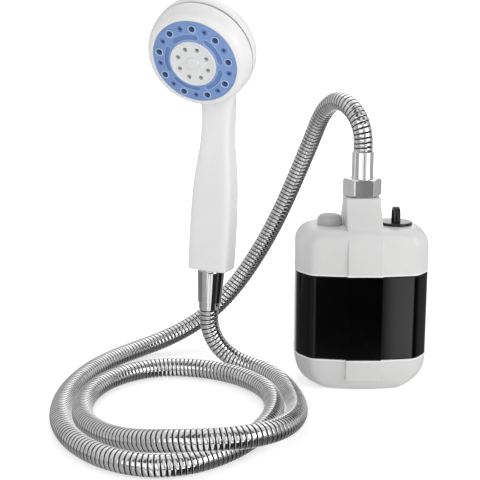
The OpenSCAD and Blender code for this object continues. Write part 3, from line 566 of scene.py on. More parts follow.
plug = makePiece("plugCap", [moved(plugFlange(plugCap), shift(plugCap["x"], 0, 0))])
carve(plug, [moved(pullLoop(plugCap), shift(plugCap["x"], 0, 0) @ turn("z", plugCap["loopTurn"]))], "UNION")
place(plug, "plug", "black_rubber", "charge_plug")
print("pump pieces done")

# six-sided nut: the least of the hexagon's radius and a cone at each end that takes the corners off
pumpNut = dict(flat=11.7, softness=150.0, foot=132.8, head=143.7, top=145.0, bevel=1.3, bevelIn=1.7,
               footBore=10.75, headBore=7.75, chamfer=0.25, footChamfer=0.4, columns=192, sharp=24.0)


def nutShape(n):
    # by height and heading, the lesser of the hexagon's radius and the cone's; then the bores within
    flat, foot, head, top, footBore, headBore, cut = pick(n, "flat foot head top footBore headBore chamfer")
    footCut = n["footChamfer"]
    t = fullTurn(n["columns"])
    hexagon = softPolygon(t, np.radians(np.arange(6) * 60 + 30), flat, n["softness"])
    h = np.linspace(0, 1, 8)
    rise = n["bevel"] * h
    cone = flat / math.cos(math.radians(30)) - n["bevelIn"] * (1 - h)
    side = np.minimum(hexagon[None, :], np.concatenate([cone, cone[::-1]])[:, None])
    side[[0, -1]] -= cut
    bore = np.array([(headBore + cut, top), (headBore, top - cut), (headBore, head), (footBore, head),
                     (footBore, foot + footCut), (footBore + footCut, foot)])
    r = np.concatenate([side, bore[:, :1] + 0 * side[:1]])
    z = np.concatenate([foot + rise, top - rise[::-1], bore[:, 1]])[:, None]
    return surface(around(r, t, z), wrapRows=True)


nut = makePiece("pumpNut", [nutShape(pumpNut)], pumpNut["sharp"])
place(nut, "pump_nut", "nut_chrome", "hose_nut")

# sleeves crimped on the two ends of the hose: smooth tube, rolled mouth, flange at the other end
hoseSleeve = dict(radius=7.45, bore=6.8, water=4.5, mouthRoll=0.35)
pumpEnd = dict(flangeRadius=10.3, flangeLow=142.0, flangeHigh=143.4, hoseSeat=148.9, mouth=163.0)
handEnd = dict(flangeRadius=7.9, flangeLow=15.52, flangeHigh=14.12, hoseSeat=14.05, mouth=0.0)


def sleeveShape(s, end):
    # closed profile from the flange to the mouth, by levels along the sleeve, which may run up or down
    radius, bore, water, roll = pick(s, "radius bore water mouthRoll")
    wide, low, high, seat, mouth = pick(end, "flangeRadius flangeLow flangeHigh hoseSeat mouth")
    profile = roundedLoop([(water, low, 0.2), (wide, low, 0.3), (wide, high, 0.3), (radius, high, 0.2),
                           (radius, mouth, roll), (bore, mouth, 0.25), (bore, seat, 0.1),
                           (water, seat, 0.1)], 4)
    return lathe(profile if mouth > seat else profile[::-1], 72, closed=True)


pumpSleeve = makePiece("pumpSleeve", [sleeveShape(hoseSleeve, pumpEnd)])
place(pumpSleeve, "set", "nut_chrome", "hose_ferrule")

# the hand shower's own frame: its foot at the hose's end, its handle up, its face to the front
handPlace = dict(foot=(-106.5, 6, 50), leanAcross=0.8, leanUp=14, heading=-20,
                 head=(-3, -42.4, 174.12), headTilt=-62)
handLean = math.degrees(math.atan(handPlace["leanAcross"] / handPlace["leanUp"]))
handFrame = shift(*handPlace["foot"]) @ turn("y", handLean) @ turn("z", handPlace["heading"])
headFrame = handFrame @ shift(*handPlace["head"]) @ turn("x", handPlace["headTilt"])

handSleeve = makePiece("handSleeve", [moved(sleeveShape(hoseSleeve, handEnd), handFrame)])
place(handSleeve, "set", "nut_chrome", "hand_ferrule")

coneNut = dict(foot=5.0, top=29.22, footRadius=8.3, headRadius=9.65, collar=1.4, footBore=7.75, headBore=8.35,
               boreStep=13.82, support=0.8)


def coneShape(c):
    # lathe: the taper from the foot to a short straight collar with a round edge under the handle
    foot, top, footRadius, headRadius = pick(c, "foot top footRadius headRadius")
    footBore, headBore, step, near = pick(c, "footBore headBore boreStep support")
    high = top - c["collar"]
    taper = (headRadius - footRadius) / (high - foot)
    loop = roundedLoop([
        (footBore, foot, 0.1), (footRadius, foot, 0.3), (footRadius + near * taper, foot + near, 0.01),
        (headRadius - near * taper, high - near, 0.01), (headRadius, high, 0.4), (headRadius, top, 0.9),
        (headBore, top, 0.2), (headBore, step, 0.1), (footBore, step, 0.1)])
    return lathe(loop, 96, closed=True)


cone = makePiece("coneNut", [moved(coneShape(coneNut), handFrame)])
place(cone, "shower_nut", "nut_chrome", "hand_nut")
print("fittings done")

# handle and back of the head in one moulding; where they meet, each swells towards the other in a fillet
showerBody = dict(gripFoot=29.52, columns=144, rows=120, footEdge=0.8, fillet=13.0,
                  sections=((14.6, 11.0, 0, 0, 7), (14.8, 11.2, 0, 20, 7), (14.7, 11.1, 0, 37.6, 7),
                            (14.4, 10.8, 0, 49.7, 7), (13.7, 10.4, 0, 63, 7), (12.1, 10.0, 0, 77.4, 6.5),
                            (10.9, 9.4, 0, 88.4, 6), (10.4, 9.0, 0, 100.6, 5.5), (10.6, 8.9, 0.2, 109.4, 5),
                            (10.8, 8.5, 1.06, 118.4, 4), (10.7, 7.5, 3.2, 128.5, 3.2),
                            (9.8, 6.0, 6.6, 138.6, 2.6), (7.4, 4.7, 10.6, 146.5, 2.3)),
                  headRadius=35.5, rim=14.3, rimDepth=4.0, headDepth=35.0, domeFlat=13.0, domeSpan=80.0,
                  wall=2.4, bossRadius=5.4, spindle=(2.4, 8.0, 32.0), water=(4.5, 26.0, 146.0), sideShare=0.7,
                  rimKept=(1.0, 5.0), rimEdge=0.5, flatRows=((0.6, 0.12), (0.25, 0.16)), hollowFront=1.0,
                  bossGap=0.5, footRows=0.6, sharp=40.0)


def handleSections(b, rows):
    # half width, half depth, forward shift, height and squareness, smoothed between the measured sections
    keys = np.array(b["sections"], float)
    dense = curveThrough(keys, 400)
    height = np.linspace(0, keys[-1, 3], rows)
    return np.stack([np.interp(height, dense[:, 3], dense[:, k]) for k in range(5)], axis=1)


def handleShape(b):
    # oval rings |x/a|^n + |y/b|^n = 1 up the handle, drawn in at the foot by a round edge
    edge = b["footEdge"]
    a = quarter(7)
    steps = handleSections(b, b["rows"])
    steps = steps[steps[:, 3] > edge + b["footRows"]]
    foot = np.repeat(handleSections(b, 2)[:1], len(a), axis=0)
    foot[:, 3] = edge * (1 - np.sin(a[::-1]))
    drawIn = np.concatenate([edge * (1 - np.cos(a[::-1])), np.zeros(len(steps))])
    rings = np.concatenate([foot, steps])
    t = fullTurn(b["columns"])
    c, s = np.cos(t), np.sin(t)
    n = rings[:, 4:5]
    radius = (np.abs(c) ** n + np.abs(s) ** n) ** (-1 / n)
    x = (rings[:, :1] - drawIn[:, None]) * c * radius
    y = (rings[:, 1:2] - drawIn[:, None]) * s * radius - rings[:, 2:3]
    return np.stack([x, y, rings[:, 3:4] + b["gripFoot"] + 0 * x], axis=-1)


def domeProfile(b, inset, front):
    # radius and depth of the head's back: straight rim, then a quarter of an oval into a flat middle
    span = math.radians(b["domeSpan"])
    a = np.linspace(0, span, 26)
    r = b["headRadius"] - inset
    low = b["rim"] + b["rimDepth"]
    radius = r - (b["headRadius"] - b["domeFlat"]) * (1 - np.cos(a)) / (1 - math.cos(span))
    depth = low + (b["headDepth"] - low - inset) * np.sin(a) / math.sin(span)
    edge = b["rimEdge"] if inset == 0 else 0.0
    rim = [(r - edge, front), (r, front + edge + 0.1), (r, front + (low - front) * 0.5)]
    last = [(radius[-1] * share, depth[-1] + rise) for share, rise in b["flatRows"]]
    return np.concatenate([rim, np.stack([radius, depth], 1), last])


def swell(distance, reach):
    # how far a surface moves out towards another one: (reach - distance)^2 / (4 reach) within reach
    near = np.clip(reach - np.maximum(distance, 0), 0, None)
    return near**2 / (4 * reach)


def surfaceNormals(points):
    # cross product of the steps along the columns and along the rows of a ring surface
    along = np.roll(points, -1, axis=1) - np.roll(points, 1, axis=1)
    up = np.gradient(points, axis=0)
    n = np.cross(along, up)
    return n / np.maximum(np.linalg.norm(n, axis=-1, keepdims=True), 1e-9)


def showerShapes(b):
    handle = handleShape(b)
    profile = domeProfile(b, 0, b["rim"])
    dome = around(profile[:, :1], fullTurn(b["columns"]), profile[:, 1:])
    between = np.linalg.inv(headFrame) @ handFrame
    # the handle's distance from the dome, by the dome's radius at that depth
    inHead = handle @ between[:3, :3].T + between[:3, 3]
    order = profile[3:]
    wide = np.interp(inHead[..., 2], order[:, 1], order[:, 0], left=b["headRadius"], right=0.0)
    behind = np.maximum(0, inHead[..., 2] - b["headDepth"])
    beside = np.maximum(0, np.hypot(inHead[..., 0], inHead[..., 1]) - wide)
    fromDome = np.hypot(beside * b["sideShare"], behind)
    # the dome's distance from the handle, by the oval at that height
    back = np.linalg.inv(between)
    inHand = dome @ back[:3, :3].T + back[:3, 3]
    steps = handleSections(b, 200)
    height = inHand[..., 2] - b["gripFoot"]
    half, deep, fore, n = (np.interp(height, steps[:, 3], steps[:, k]) for k in (0, 1, 2, 4))
    oval = (np.abs(inHand[..., 0] / half) ** n + np.abs((inHand[..., 1] + fore) / deep) ** n) ** (1 / n)
    fromHandle = np.where(height < steps[-1, 3], (oval - 1) * np.minimum(half, deep), 99.0)
    reach = b["fillet"]
    handle = handle + surfaceNormals(handle) * swell(fromDome, reach)[..., None]
    keepRim = smoothStep(*b["rimKept"], profile[:, 1] - b["rim"])[:, None]
    dome = dome + surfaceNormals(dome) * (swell(fromHandle, reach) * keepRim)[..., None]
    return surface(handle, caps=True), surface(dome, caps=True)


handleSolid, domeSolid = showerShapes(showerBody)
shower = makePiece("showerBody", [moved(handleSolid, handFrame)])
carve(shower, [moved(domeSolid, headFrame)], "UNION", showerBody["sharp"])


def headHollow(b):
    # the room inside the head, with the boss that holds the spindle left standing in its middle
    front, boss = b["rim"] - b["hollowFront"], b["bossRadius"]
    outline = domeProfile(b, b["wall"], front)
    bossSide = [(boss, outline[-1, 1]), (boss, front)]
    outline = outline[outline[:, 0] > boss + b["bossGap"]]
    return lathe(np.concatenate([outline, bossSide]), 120, closed=True)


carve(shower, [moved(headHollow(showerBody), headFrame), moved(rod(*showerBody["spindle"]), headFrame),
               moved(rod(*showerBody["water"]), handFrame)], "DIFFERENCE", showerBody["sharp"])
place(shower, "set", "white_plastic", "hand_body")
print("shower body:", len(shower.data.polygons), "faces")

# turning bezel: lathe from the blue ring's lip over a soft shoulder to the seam, and its wall within
faceRim = dict(lip=28.7, radius=35.5, depth=14.0, wall=2.4, ledge=3.4, ledgeTop=5.0, ledgeIn=2.0,
               ledgeOut=1.6, wallStep=(1.0, 8.4), seam=(12.2, 12.6), columns=160, sharp=42.0,
               outside=((28.72, 0.5), (28.95, 0.08), (29.5, -0.02), (30.3, 0.22), (31.4, 0.85), (32.6, 2.1),
                        (33.6, 4.0), (34.4, 6.4), (34.95, 8.6), (35.25, 10.6), (35.45, 12.2), (35.5, 12.9),
                        (35.3, 13.35), (34.8, 13.5)))


def rimShape(f):
    # the smoothed outside, then wall and ledge within; the seam mask, painted shade in the gap behind the
    # bezel, grows with the depth
    outer = curveThrough(f["outside"], 60)
    r, lip, ledge, ledgeTop = f["radius"] - f["wall"], *pick(f, "lip ledge ledgeTop")
    stepIn, stepDepth = f["wallStep"]
    edge = lip - f["ledgeIn"]
    inner = [(r, f["depth"]), (r - stepIn, stepDepth), (lip + f["ledgeOut"], ledgeTop), (edge, ledgeTop),
             (edge, ledge), (lip, ledge)]
    seam = np.concatenate([smoothStep(*f["seam"], outer[:, 1]), [1.0], np.zeros(len(inner) - 1)])
    return lathe(np.concatenate([outer, inner]), f["columns"], closed=True), np.repeat(seam, f["columns"])


rimSurface, rimSeamShade = rimShape(faceRim)
rim = makePiece("faceRim", [moved(rimSurface, headFrame)], faceRim["sharp"])
# the seam mask marks where the finish paints shade behind the bezel
pointMask(rim, "seam", rimSeamShade)
place(rim, "spray_face", "white_plastic", "head_bezel")

# blue ring: a relief over radius and angle, with curved recesses and a seat round each nozzle
blueRing = dict(inner=15.9, outer=28.6, front=0.4, crown=2.4, thick=3.0, columns=540, rows=56, arcs=5,
                arcSpan=58.0, arcTurn=13.0, arcIn=17.0, arcOut=20.0, arcDepth=0.8, arcRound=1.45,
                lipHigh=0.22, lipWide=1.0, lipOut=0.32, lipSteep=2.2, lipFrom=0.3, recessEdge=0.18,
                seatWide=0.5, seatHigh=0.25, seatOut=0.25, wellDepth=2.3, wellEdge=(0.1, 0.6),
                outerEdge=0.3, sharp=50.0)
nozzleSet = dict(circle=24.0, count=9, turned=5.0, backFace=3.4, columns=28, sharp=60.0,
                 wide=dict(radius=2.8, rise=0.8, wall=0.75, depth=1.8, tone=1.0),
                 narrow=dict(radius=2.1, rise=0.1, wall=1.3, depth=1.2, tone=0.35))


def nozzlePlaces(n):
    # narrow and wide nozzles by turns round the circle
    kinds = [n["narrow"], n["wide"]] * n["count"]
    a = np.radians(90 + n["turned"] + np.arange(len(kinds)) * 180.0 / n["count"])
    return n["circle"] * np.cos(a), n["circle"] * np.sin(a), kinds


def ringRelief(b, r, angle):
    # distance inside each recess: its bands in radius and along the arc, rounded where both end
    span, curve = pick(b, "arcSpan arcRound")
    local = ((np.degrees(angle) - b["arcTurn"]) % (360.0 / b["arcs"])) - span / 2
    alongEdge = span / 2 * np.pi / 180 * r - np.abs(np.radians(local)) * r
    a, c = curve - alongEdge, curve - np.minimum(b["arcOut"] - r, r - b["arcIn"])
    inside = curve - np.where((a > 0) & (c > 0), np.hypot(a, c), np.maximum(a, c))
    recess = smoothStep(-b["recessEdge"], b["recessEdge"], inside)
    lip = np.exp(-((inside + b["lipOut"]) / b["lipWide"] * b["lipSteep"]) ** 2)
    lip = lip * (r > b["inner"] + b["lipFrom"])
    px, py, kinds = nozzlePlaces(nozzleSet)
    x, y = (r * np.cos(angle))[..., None] - px, (r * np.sin(angle))[..., None] - py
    away = np.min(np.sqrt(x**2 + y**2) - [k["radius"] for k in kinds], axis=-1)
    seat = np.exp(-((away - b["seatOut"]) / b["seatWide"]) ** 2)
    return recess, lip, seat, smoothStep(*b["wellEdge"], -away)


def ringFront(b, r):
    # the crowned front: a cone from the outer edge towards the middle
    return b["front"] - b["crown"] * (b["outer"] - r) / (b["outer"] - b["inner"])


def ringShape(b):
    # depth by radius and heading: the crowned front, sunk in recesses and wells, raised at lips and seats
    low, high, back = b["inner"], b["outer"], b["front"] + b["thick"]
    r = np.concatenate([[low], np.linspace(low + 0.12, high - 0.3, b["rows"]), [high - 0.08, high]])
    t = fullTurn(b["columns"])
    rr, tt = np.meshgrid(r, t, indexing="ij")
    recess, lip, seat, well = ringRelief(b, rr, tt)
    raised = b["lipHigh"] * lip + b["seatHigh"] * seat * (1 - well)
    z = ringFront(b, rr) + b["arcDepth"] * recess - raised * (1 - recess) + b["wellDepth"] * well
    z[-1] = b["front"] + b["outerEdge"]
    behind = around(np.array([[high], [low]]), t, back)
    masks = [np.concatenate([m, np.zeros((2, len(t)))]) for m in (recess, lip, seat)]
    return surface(np.concatenate([around(rr, tt, z), behind]), wrapRows=True), masks


ringSurface, ringMasks = ringShape(blueRing)
ring = makePiece("blueRing", [moved(ringSurface, headFrame)], blueRing["sharp"])
# the masks also mark painted shade in the recesses and painted highlights on the lips and seats
for maskName, mask in zip(("recess", "lip", "seat"), ringMasks):
    pointMask(ring, maskName, mask.reshape(-1))
place(ring, "spray_face", "spray_blue", "spray_ring")


def nozzleShapes(n):
    # a closed profile of radius, depth behind the front and tone for each nozzle, set round the circle;
    # the tone is 1 on the rim of a wide nozzle, where the finish paints a highlight, 0.35 on a narrow one's
    # and 0 in the hole, where it paints shade
    t = fullTurn(n["columns"])
    shapes, tones = [], []
    for x, y, kind in zip(*nozzlePlaces(n)):
        size, rise, wall, depth = pick(kind, "radius rise wall depth")
        front = ringFront(blueRing, n["circle"]) - rise
        hole, back = size - wall, n["backFace"] - front
        profile = np.array([
            (0.25, depth, 0), (hole * 0.5, depth, 0), (hole - 0.12, depth * 0.85, 0.25), (hole, 0.45, 0.3),
            (hole + 0.06, 0.2, 0.6), (hole + 0.22, 0.02, 1), (hole + wall * 0.5, -0.06, 1),
            (size - 0.2, 0.03, 1), (size - 0.04, 0.2, 0.7), (size, 0.5, 0.3), (size, back, 0),
            (0.25, back, 0)])
        points = around(profile[:, :1], t, front + profile[:, 1:2]) + (x, y, 0)
        shapes.append(surface(points, caps=True))
        tones.append(np.repeat(profile[:, 2] * kind["tone"], len(t)))
    return shapes, np.concatenate(tones)


nozzleParts, nozzleLightAndShade = nozzleShapes(nozzleSet)
nozzles = makePiece("nozzleSet", [moved(part, headFrame) for part in nozzleParts], nozzleSet["sharp"])
pointMask(nozzles, "nozzlePaintedLight", nozzleLightAndShade)
place(nozzles, "spray_face", "nozzle_blue", "ring_nozzles")

# white middle disc with its holes, and the cap on its hub
whiteDisc = dict(radius=15.8, front=-2.4, ledge=3.4, ledgeTop=5.0, ledgeRadius=17.8, hubRadius=4.4,
                 hubEnd=9.0, spindleHole=2.45, spindleFoot=2.5, jets=8, jet=(1.5, -5.0, 7.0), jetCircle=10.6)


def discShape(d):
    # closed profile: front with a small raised edge, ledge behind the blue ring, hub round the spindle
    r, level, ledge, ledgeTop, ledgeRadius = pick(d, "radius front ledge ledgeTop ledgeRadius")
    hub, hubEnd, hole, holeFoot = pick(d, "hubRadius hubEnd spindleHole spindleFoot")
    front = np.array([(0.3, 0.0), (6.0, 0.0), (9.0, 0.0), (r - 1.9, 0.0), (r - 1.6, -0.05), (r - 1.3, -0.4),
                      (r - 0.9, -0.55), (r - 0.5, -0.55), (r - 0.15, -0.3), (r, 0.25)]) + (0, level)
    back = [(r, ledge), (ledgeRadius, ledge), (ledgeRadius, ledgeTop), (hub, ledgeTop), (hub, hubEnd),
            (hole, hubEnd), (hole, holeFoot), (0.3, holeFoot)]
    return lathe(np.concatenate([front, back]), 120)


def jetHoles(d):
    # rods on a circle at equal headings
    a = np.radians((np.arange(d["jets"]) + 0.5) * 360 / d["jets"] + 90)
    return joined([rod(*d["jet"], d["jetCircle"] * math.cos(k), d["jetCircle"] * math.sin(k)) for k in a])


disc = makePiece("whiteDisc", [moved(discShape(whiteDisc), headFrame)])
carve(disc, [moved(jetHoles(whiteDisc), headFrame)], "DIFFERENCE")
place(disc, "spray_face", "white_plastic", "middle_disc")

centreCap = dict(radius=4.5, rise=0.75, seat=-2.4)


def capShape(c):
    # lathe: a low cap with a round edge
    r, h = c["radius"], c["seat"] - c["rise"]
    return lathe([(0.3, h - 0.12), (1.6, h - 0.1), (r - 1.0, h), (r - 0.55, h + 0.04), (r - 0.2, h + 0.18),
                  (r, h + 0.45), (r, c["seat"] - 0.02)], 96)


cap = makePiece("centreCap", [moved(capShape(centreCap), headFrame)])
place(cap, "spray_face", "white_plastic", "middle_cap")
print("spray face done")


# finishes: helpers that add nodes to a material, a group or the world, fed by numbers, colours or outputs
class Nodes:
    def __init__(self, tree):
        self.nodes, self.links = tree.nodes, tree.links

    def add(self, kind):
        return self.nodes.new("ShaderNode" + kind)

    def feed(self, socket, value):
        if hasattr(value, "is_linked"):
            self.links.new(value, socket)
        else:
            socket.default_value = value

    def noise(self, vector, scale, detail=2.0, roughness=0.5):
        node = self.add("TexNoise")
        labels = ("Vector", "Scale", "Detail", "Roughness")
        for label, value in zip(labels, (vector, scale, detail, roughness)):
            self.feed(node.inputs[label], value)
        return node.outputs["Fac"]

    def math(self, how, a, b):
        node = self.add("Math")
        node.operation = how
        self.feed(node.inputs[0], a)
        self.feed(node.inputs[1], b)
        return node.outputs[0]

    def range(self, value, low, high, toLow=0.0, toHigh=1.0):
        node = self.add("MapRange")
        labels = ("Value", "From Min", "From Max", "To Min", "To Max")
        for label, number in zip(labels, (value, low, high, toLow, toHigh)):
            self.feed(node.inputs[label], number)
        return node.outputs["Result"]

    def mix(self, factor, a, b):
        node = self.add("Mix")
        node.data_type = "RGBA"
        self.feed(node.inputs["Factor"], factor)
        for label, value in (("A", a), ("B", b)):
            socket = [k for k in node.inputs if k.name == label and k.type == "RGBA"][0]
            self.feed(socket, (*value, 1) if isinstance(value, tuple) else value)
        return [k for k in node.outputs if k.type == "RGBA"][0]

    def axes(self, vector):
        node = self.add("SeparateXYZ")
        self.feed(node.inputs[0], vector)
        return node.outputs


def newGroup(name, scales, results):
    # a group that takes a place and some noise scales, and gives numbers
    group = bpy.data.node_groups.new(name, "ShaderNodeTree")
    group.interface.new_socket("Vector", in_out="INPUT", socket_type="NodeSocketVector")
    for label, value in scales:
        socket = group.interface.new_socket(label, in_out="INPUT", socket_type="NodeSocketFloat")
        socket.default_value = value
    for label in results:
        group.interface.new_socket(label, in_out="OUTPUT", socket_type="NodeSocketFloat")
    start, end = group.nodes.new("NodeGroupInput"), group.nodes.new("NodeGroupOutput")
    return group, Nodes(group), start.outputs, end.inputs


def mouldGrainGroup():
    # broad flow clouds, fine spark texture, and rubbed spots where both run high
    scales = (("Broad", 30.0), ("Fine", 1800.0))
    group, g, start, end = newGroup("mouldGrain", scales, ("Cloud", "Grain", "Rub"))
    broad = g.noise(start["Vector"], start["Broad"], 3.0)
    fine = g.noise(start["Vector"], start["Fine"], 2.0, 0.6)
    g.feed(end["Cloud"], broad)
    g.feed(end["Grain"], fine)
    g.feed(end["Rub"], g.range(g.math("MULTIPLY", broad, fine), 0.27, 0.42))
    return group


def wipedMetalGroup():
    # long scratches from stretched noise, and finger smudges
    scales = (("Smudge Scale", 120.0), ("Scratch Scale", 700.0))
    group, g, start, end = newGroup("wipedMetal", scales, ("Smudge", "Scratch"))
    stretch = g.add("Mapping")
    stretch.inputs["Scale"].default_value = (1.0, 1.0, 0.06)
    g.feed(stretch.inputs["Vector"], start["Vector"])
    smudge = g.noise(start["Vector"], start["Smudge Scale"], 3.0, 0.6)
    scratch = g.noise(stretch.outputs["Vector"], start["Scratch Scale"], 2.0, 0.7)
    g.feed(end["Smudge"], g.range(smudge, 0.35, 0.75))
    g.feed(end["Scratch"], g.range(scratch, 0.45, 0.7))
    return group


mouldGrain = mouldGrainGroup()
wipedMetal = wipedMetalGroup()


class Finish(Nodes):
    # a material with its Principled shader and object coordinates
    def __init__(self, name, **sockets):
        self.material = bpy.data.materials.new(name)
        self.material.use_nodes = True
        super().__init__(self.material.node_tree)
        self.shader = self.nodes["Principled BSDF"]
        self.coords = self.add("TexCoord").outputs["Object"]
        for label, value in sockets.items():
            self.shader.inputs[label.replace("_", " ")].default_value = value

    def group(self, tree, **values):
        node = self.add("Group")
        node.node_tree = tree
        self.feed(node.inputs["Vector"], self.coords)
        for label, value in values.items():
            node.inputs[label.replace("_", " ")].default_value = value
        return node.outputs

    def mask(self, name):
        node = self.add("Attribute")
        node.attribute_name = name
        return node.outputs["Fac"]

    def into(self, label, output):
        self.links.new(output, self.shader.inputs[label])

    def over(self, factor, colour):
        # another colour laid over the base colour so far
        tint = self.shader.inputs["Base Color"].links[0].from_socket
        self.into("Base Color", self.mix(factor, tint, colour))

    def bump(self, height, strength, distance):
        node = self.add("Bump")
        node.inputs["Strength"].default_value = strength
        node.inputs["Distance"].default_value = distance
        self.feed(node.inputs["Height"], height)
        self.into("Normal", node.outputs["Normal"])


def grey(tone):
    # one tone in all three channels
    return (tone, tone, tone)


grainDepth, scratchDepth = 0.00006, 0.00003  # metres that the fine bumps stand for


def plasticFinish(name, dark, light, rough, broad=30.0, fine=1800.0, bump=0.08, **sockets):
    # moulded plastic: two close tones by the flow clouds, roughness by the rubbed spots, fine bump
    f = Finish(name, **sockets)
    g = f.group(mouldGrain, Broad=broad, Fine=fine)
    f.into("Base Color", f.mix(f.range(g["Cloud"], 0.3, 0.7), dark, light))
    f.into("Roughness", f.range(g["Rub"], 0.0, 1.0, *rough))
    f.bump(g["Grain"], bump, grainDepth)
    return f


def metalFinish(name, dark, light, rough, smudge=120.0, scratch=700.0):
    # bright metal: smudges tint it, scratches and smudges roughen it
    f = Finish(name, Metallic=1.0)
    g = f.group(wipedMetal, Smudge_Scale=smudge, Scratch_Scale=scratch)
    f.into("Base Color", f.mix(g["Smudge"], light, dark))
    f.into("Roughness", f.range(f.math("MAXIMUM", g["Smudge"], g["Scratch"]), 0.0, 1.0, *rough))
    f.bump(g["Scratch"], 0.02, scratchDepth)
    return f


def pumpFinish(b):
    # greyish white plastic, with a painted highlight: a white line along each side of the band, where | |z -
    # middle| - half | < line
    f = plasticFinish("pumpWhite", (0.725, 0.725, 0.72), (0.765, 0.765, 0.76), (0.3, 0.38))
    low, high, line = pick(b, "bandFoot bandTop beadWide")
    away = f.axes(f.coords)["Z"]
    for level in ((high + low) / 2 * mm, (high - low + line) / 2 * mm):
        away = f.math("ABSOLUTE", f.math("SUBTRACT", away, level), 0.0)
    # painted highlight: pure white along each edge of the band
    f.over(f.math("LESS_THAN", away, line / 2 * mm), grey(1.0))
    return f


def showerFinish():
    # brighter white plastic, with painted shade: near black in the seam behind the bezel
    f = plasticFinish("showerWhite", (0.91, 0.91, 0.912), (0.94, 0.94, 0.942), (0.26, 0.34))
    # painted shade in the seam between the bezel and the body
    f.over(f.mask("seam"), grey(0.05))
    return f


def hoseFinish():
    # steel ribs, with painted shade: nearly black in the groove between two of them
    f = metalFinish("hoseSteel", (0.66, 0.66, 0.67), (0.84, 0.84, 0.85), (0.04, 0.1), 90.0, 500.0)
    # painted shade in the grooves
    f.over(f.range(f.mask("groove"), 0.05, 0.42), (0.006, 0.006, 0.007))
    return f


def blueFinish():
    # tinted plastic, with painted shade deeper in the recesses and painted highlights paler along their lips
    # and round the nozzle seats
    f = plasticFinish("sprayBlue", (0.205, 0.34, 0.67), (0.225, 0.365, 0.7), (0.3, 0.4), 80.0, 1600.0, 0.05)
    # painted shade in the recesses, painted highlights along the lips and round the seats
    shadeAndHighlightTints = (("lip", 0.2, 0.7, (0.42, 0.57, 0.9)), ("recess", 0.3, 0.75, (0.15, 0.26, 0.53)),
             ("seat", 0.3, 0.3, (0.36, 0.5, 0.84)))
    for name, low, most, colour in shadeAndHighlightTints:
        f.over(f.range(f.mask(name), low, 1.0, 0.0, most), colour)
    return f


def nozzleFinish():
    # painted shade, navy, in the holes, the ring's blue round them, and painted highlights, pale rims, on the
    # wide nozzles
    # the navy base is painted shade, left showing in the holes
    f = plasticFinish("nozzleBlue", (0.02, 0.05, 0.17), (0.028, 0.062, 0.2), (0.35, 0.5), 200.0, 2000.0, 0.05)
    tone = f.mask("nozzlePaintedLight")
    f.over(f.range(tone, 0.0, 0.35), (0.14, 0.24, 0.52))
    # painted highlight: pale rims on the wide nozzles
    f.over(f.range(tone, 0.4, 0.9), (0.6, 0.75, 0.97))
    return f


pumpWhite, showerWhite = pumpFinish(pumpBody), showerFinish()
discWhite = plasticFinish("discWhite", (0.84, 0.845, 0.85), (0.87, 0.875, 0.88), (0.26, 0.34))
bandGloss = plasticFinish("bandGloss", grey(0.0008), grey(0.0014), (0.09, 0.12), 45.0, 900.0, 0.01,
                          Specular_IOR_Level=0.3)
keyGrey = plasticFinish("keyGrey", (0.48, 0.48, 0.485), (0.55, 0.55, 0.555), (0.34, 0.46), 60.0, 2200.0, 0.15)
plugRubber = plasticFinish("plugRubber", grey(0.006), grey(0.011), (0.03, 0.07), 70.0, 2600.0, 0.06)
innerGrey = plasticFinish("innerGrey", (0.25, 0.25, 0.26), (0.31, 0.31, 0.32), (0.4, 0.55))
cellSleeve = plasticFinish("cellSleeve", (0.03, 0.14, 0.3), (0.05, 0.19, 0.38), (0.25, 0.4))
boardGreen = plasticFinish("boardGreen", (0.012, 0.09, 0.04), (0.03, 0.16, 0.07), (0.3, 0.5), 160.0)
nutChrome = metalFinish("nutChrome", (0.72, 0.72, 0.73), (0.8, 0.8, 0.81), (0.03, 0.07))
motorSteel = metalFinish("motorSteel", (0.45, 0.45, 0.46), (0.58, 0.58, 0.59), (0.22, 0.38))
hoseSteel, sprayBlue, nozzleBlue = hoseFinish(), blueFinish(), nozzleFinish()


def dress(target, finish):
    # the finish in place of what the piece had
    target.data.materials.clear()
    target.data.materials.append(finish.material)


worn = ((hoseSteel, (hose,)), (pumpWhite, (pumpTop, foot)), (bandGloss, (band,)), (keyGrey, (key,)),
        (plugRubber, (plug,)), (nutChrome, (nut, pumpSleeve, handSleeve, cone)), (showerWhite, (shower, rim)),
        (sprayBlue, (ring,)), (nozzleBlue, (nozzles,)), (discWhite, (disc, cap)))
for finish, pieces in worn:
    for piece in pieces:
        dress(piece, finish)

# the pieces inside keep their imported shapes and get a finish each
inside = ((plugRubber, "intake_strainer shaft_seal impeller power_switch charge_socket"),
          (plugRubber, "hose_washer hand_washer head_seal"), (innerGrey, "chassis_plate diverter_plate"),
          (motorSteel, "chassis_screws motor motor_shaft face_spindle"), (cellSleeve, "battery_cells"),
          (pumpWhite, "pump_chamber riser_tube"), (boardGreen, "control_board"))
for finish, names in inside:
    for node in pick(frame["nodes"], names):
        for slot in node.material_slots:
            slot.material = finish.material
# the coil's mirror image stays out of the band
hose.visible_glossy = False
print("finishes done:", len(bpy.data.materials))

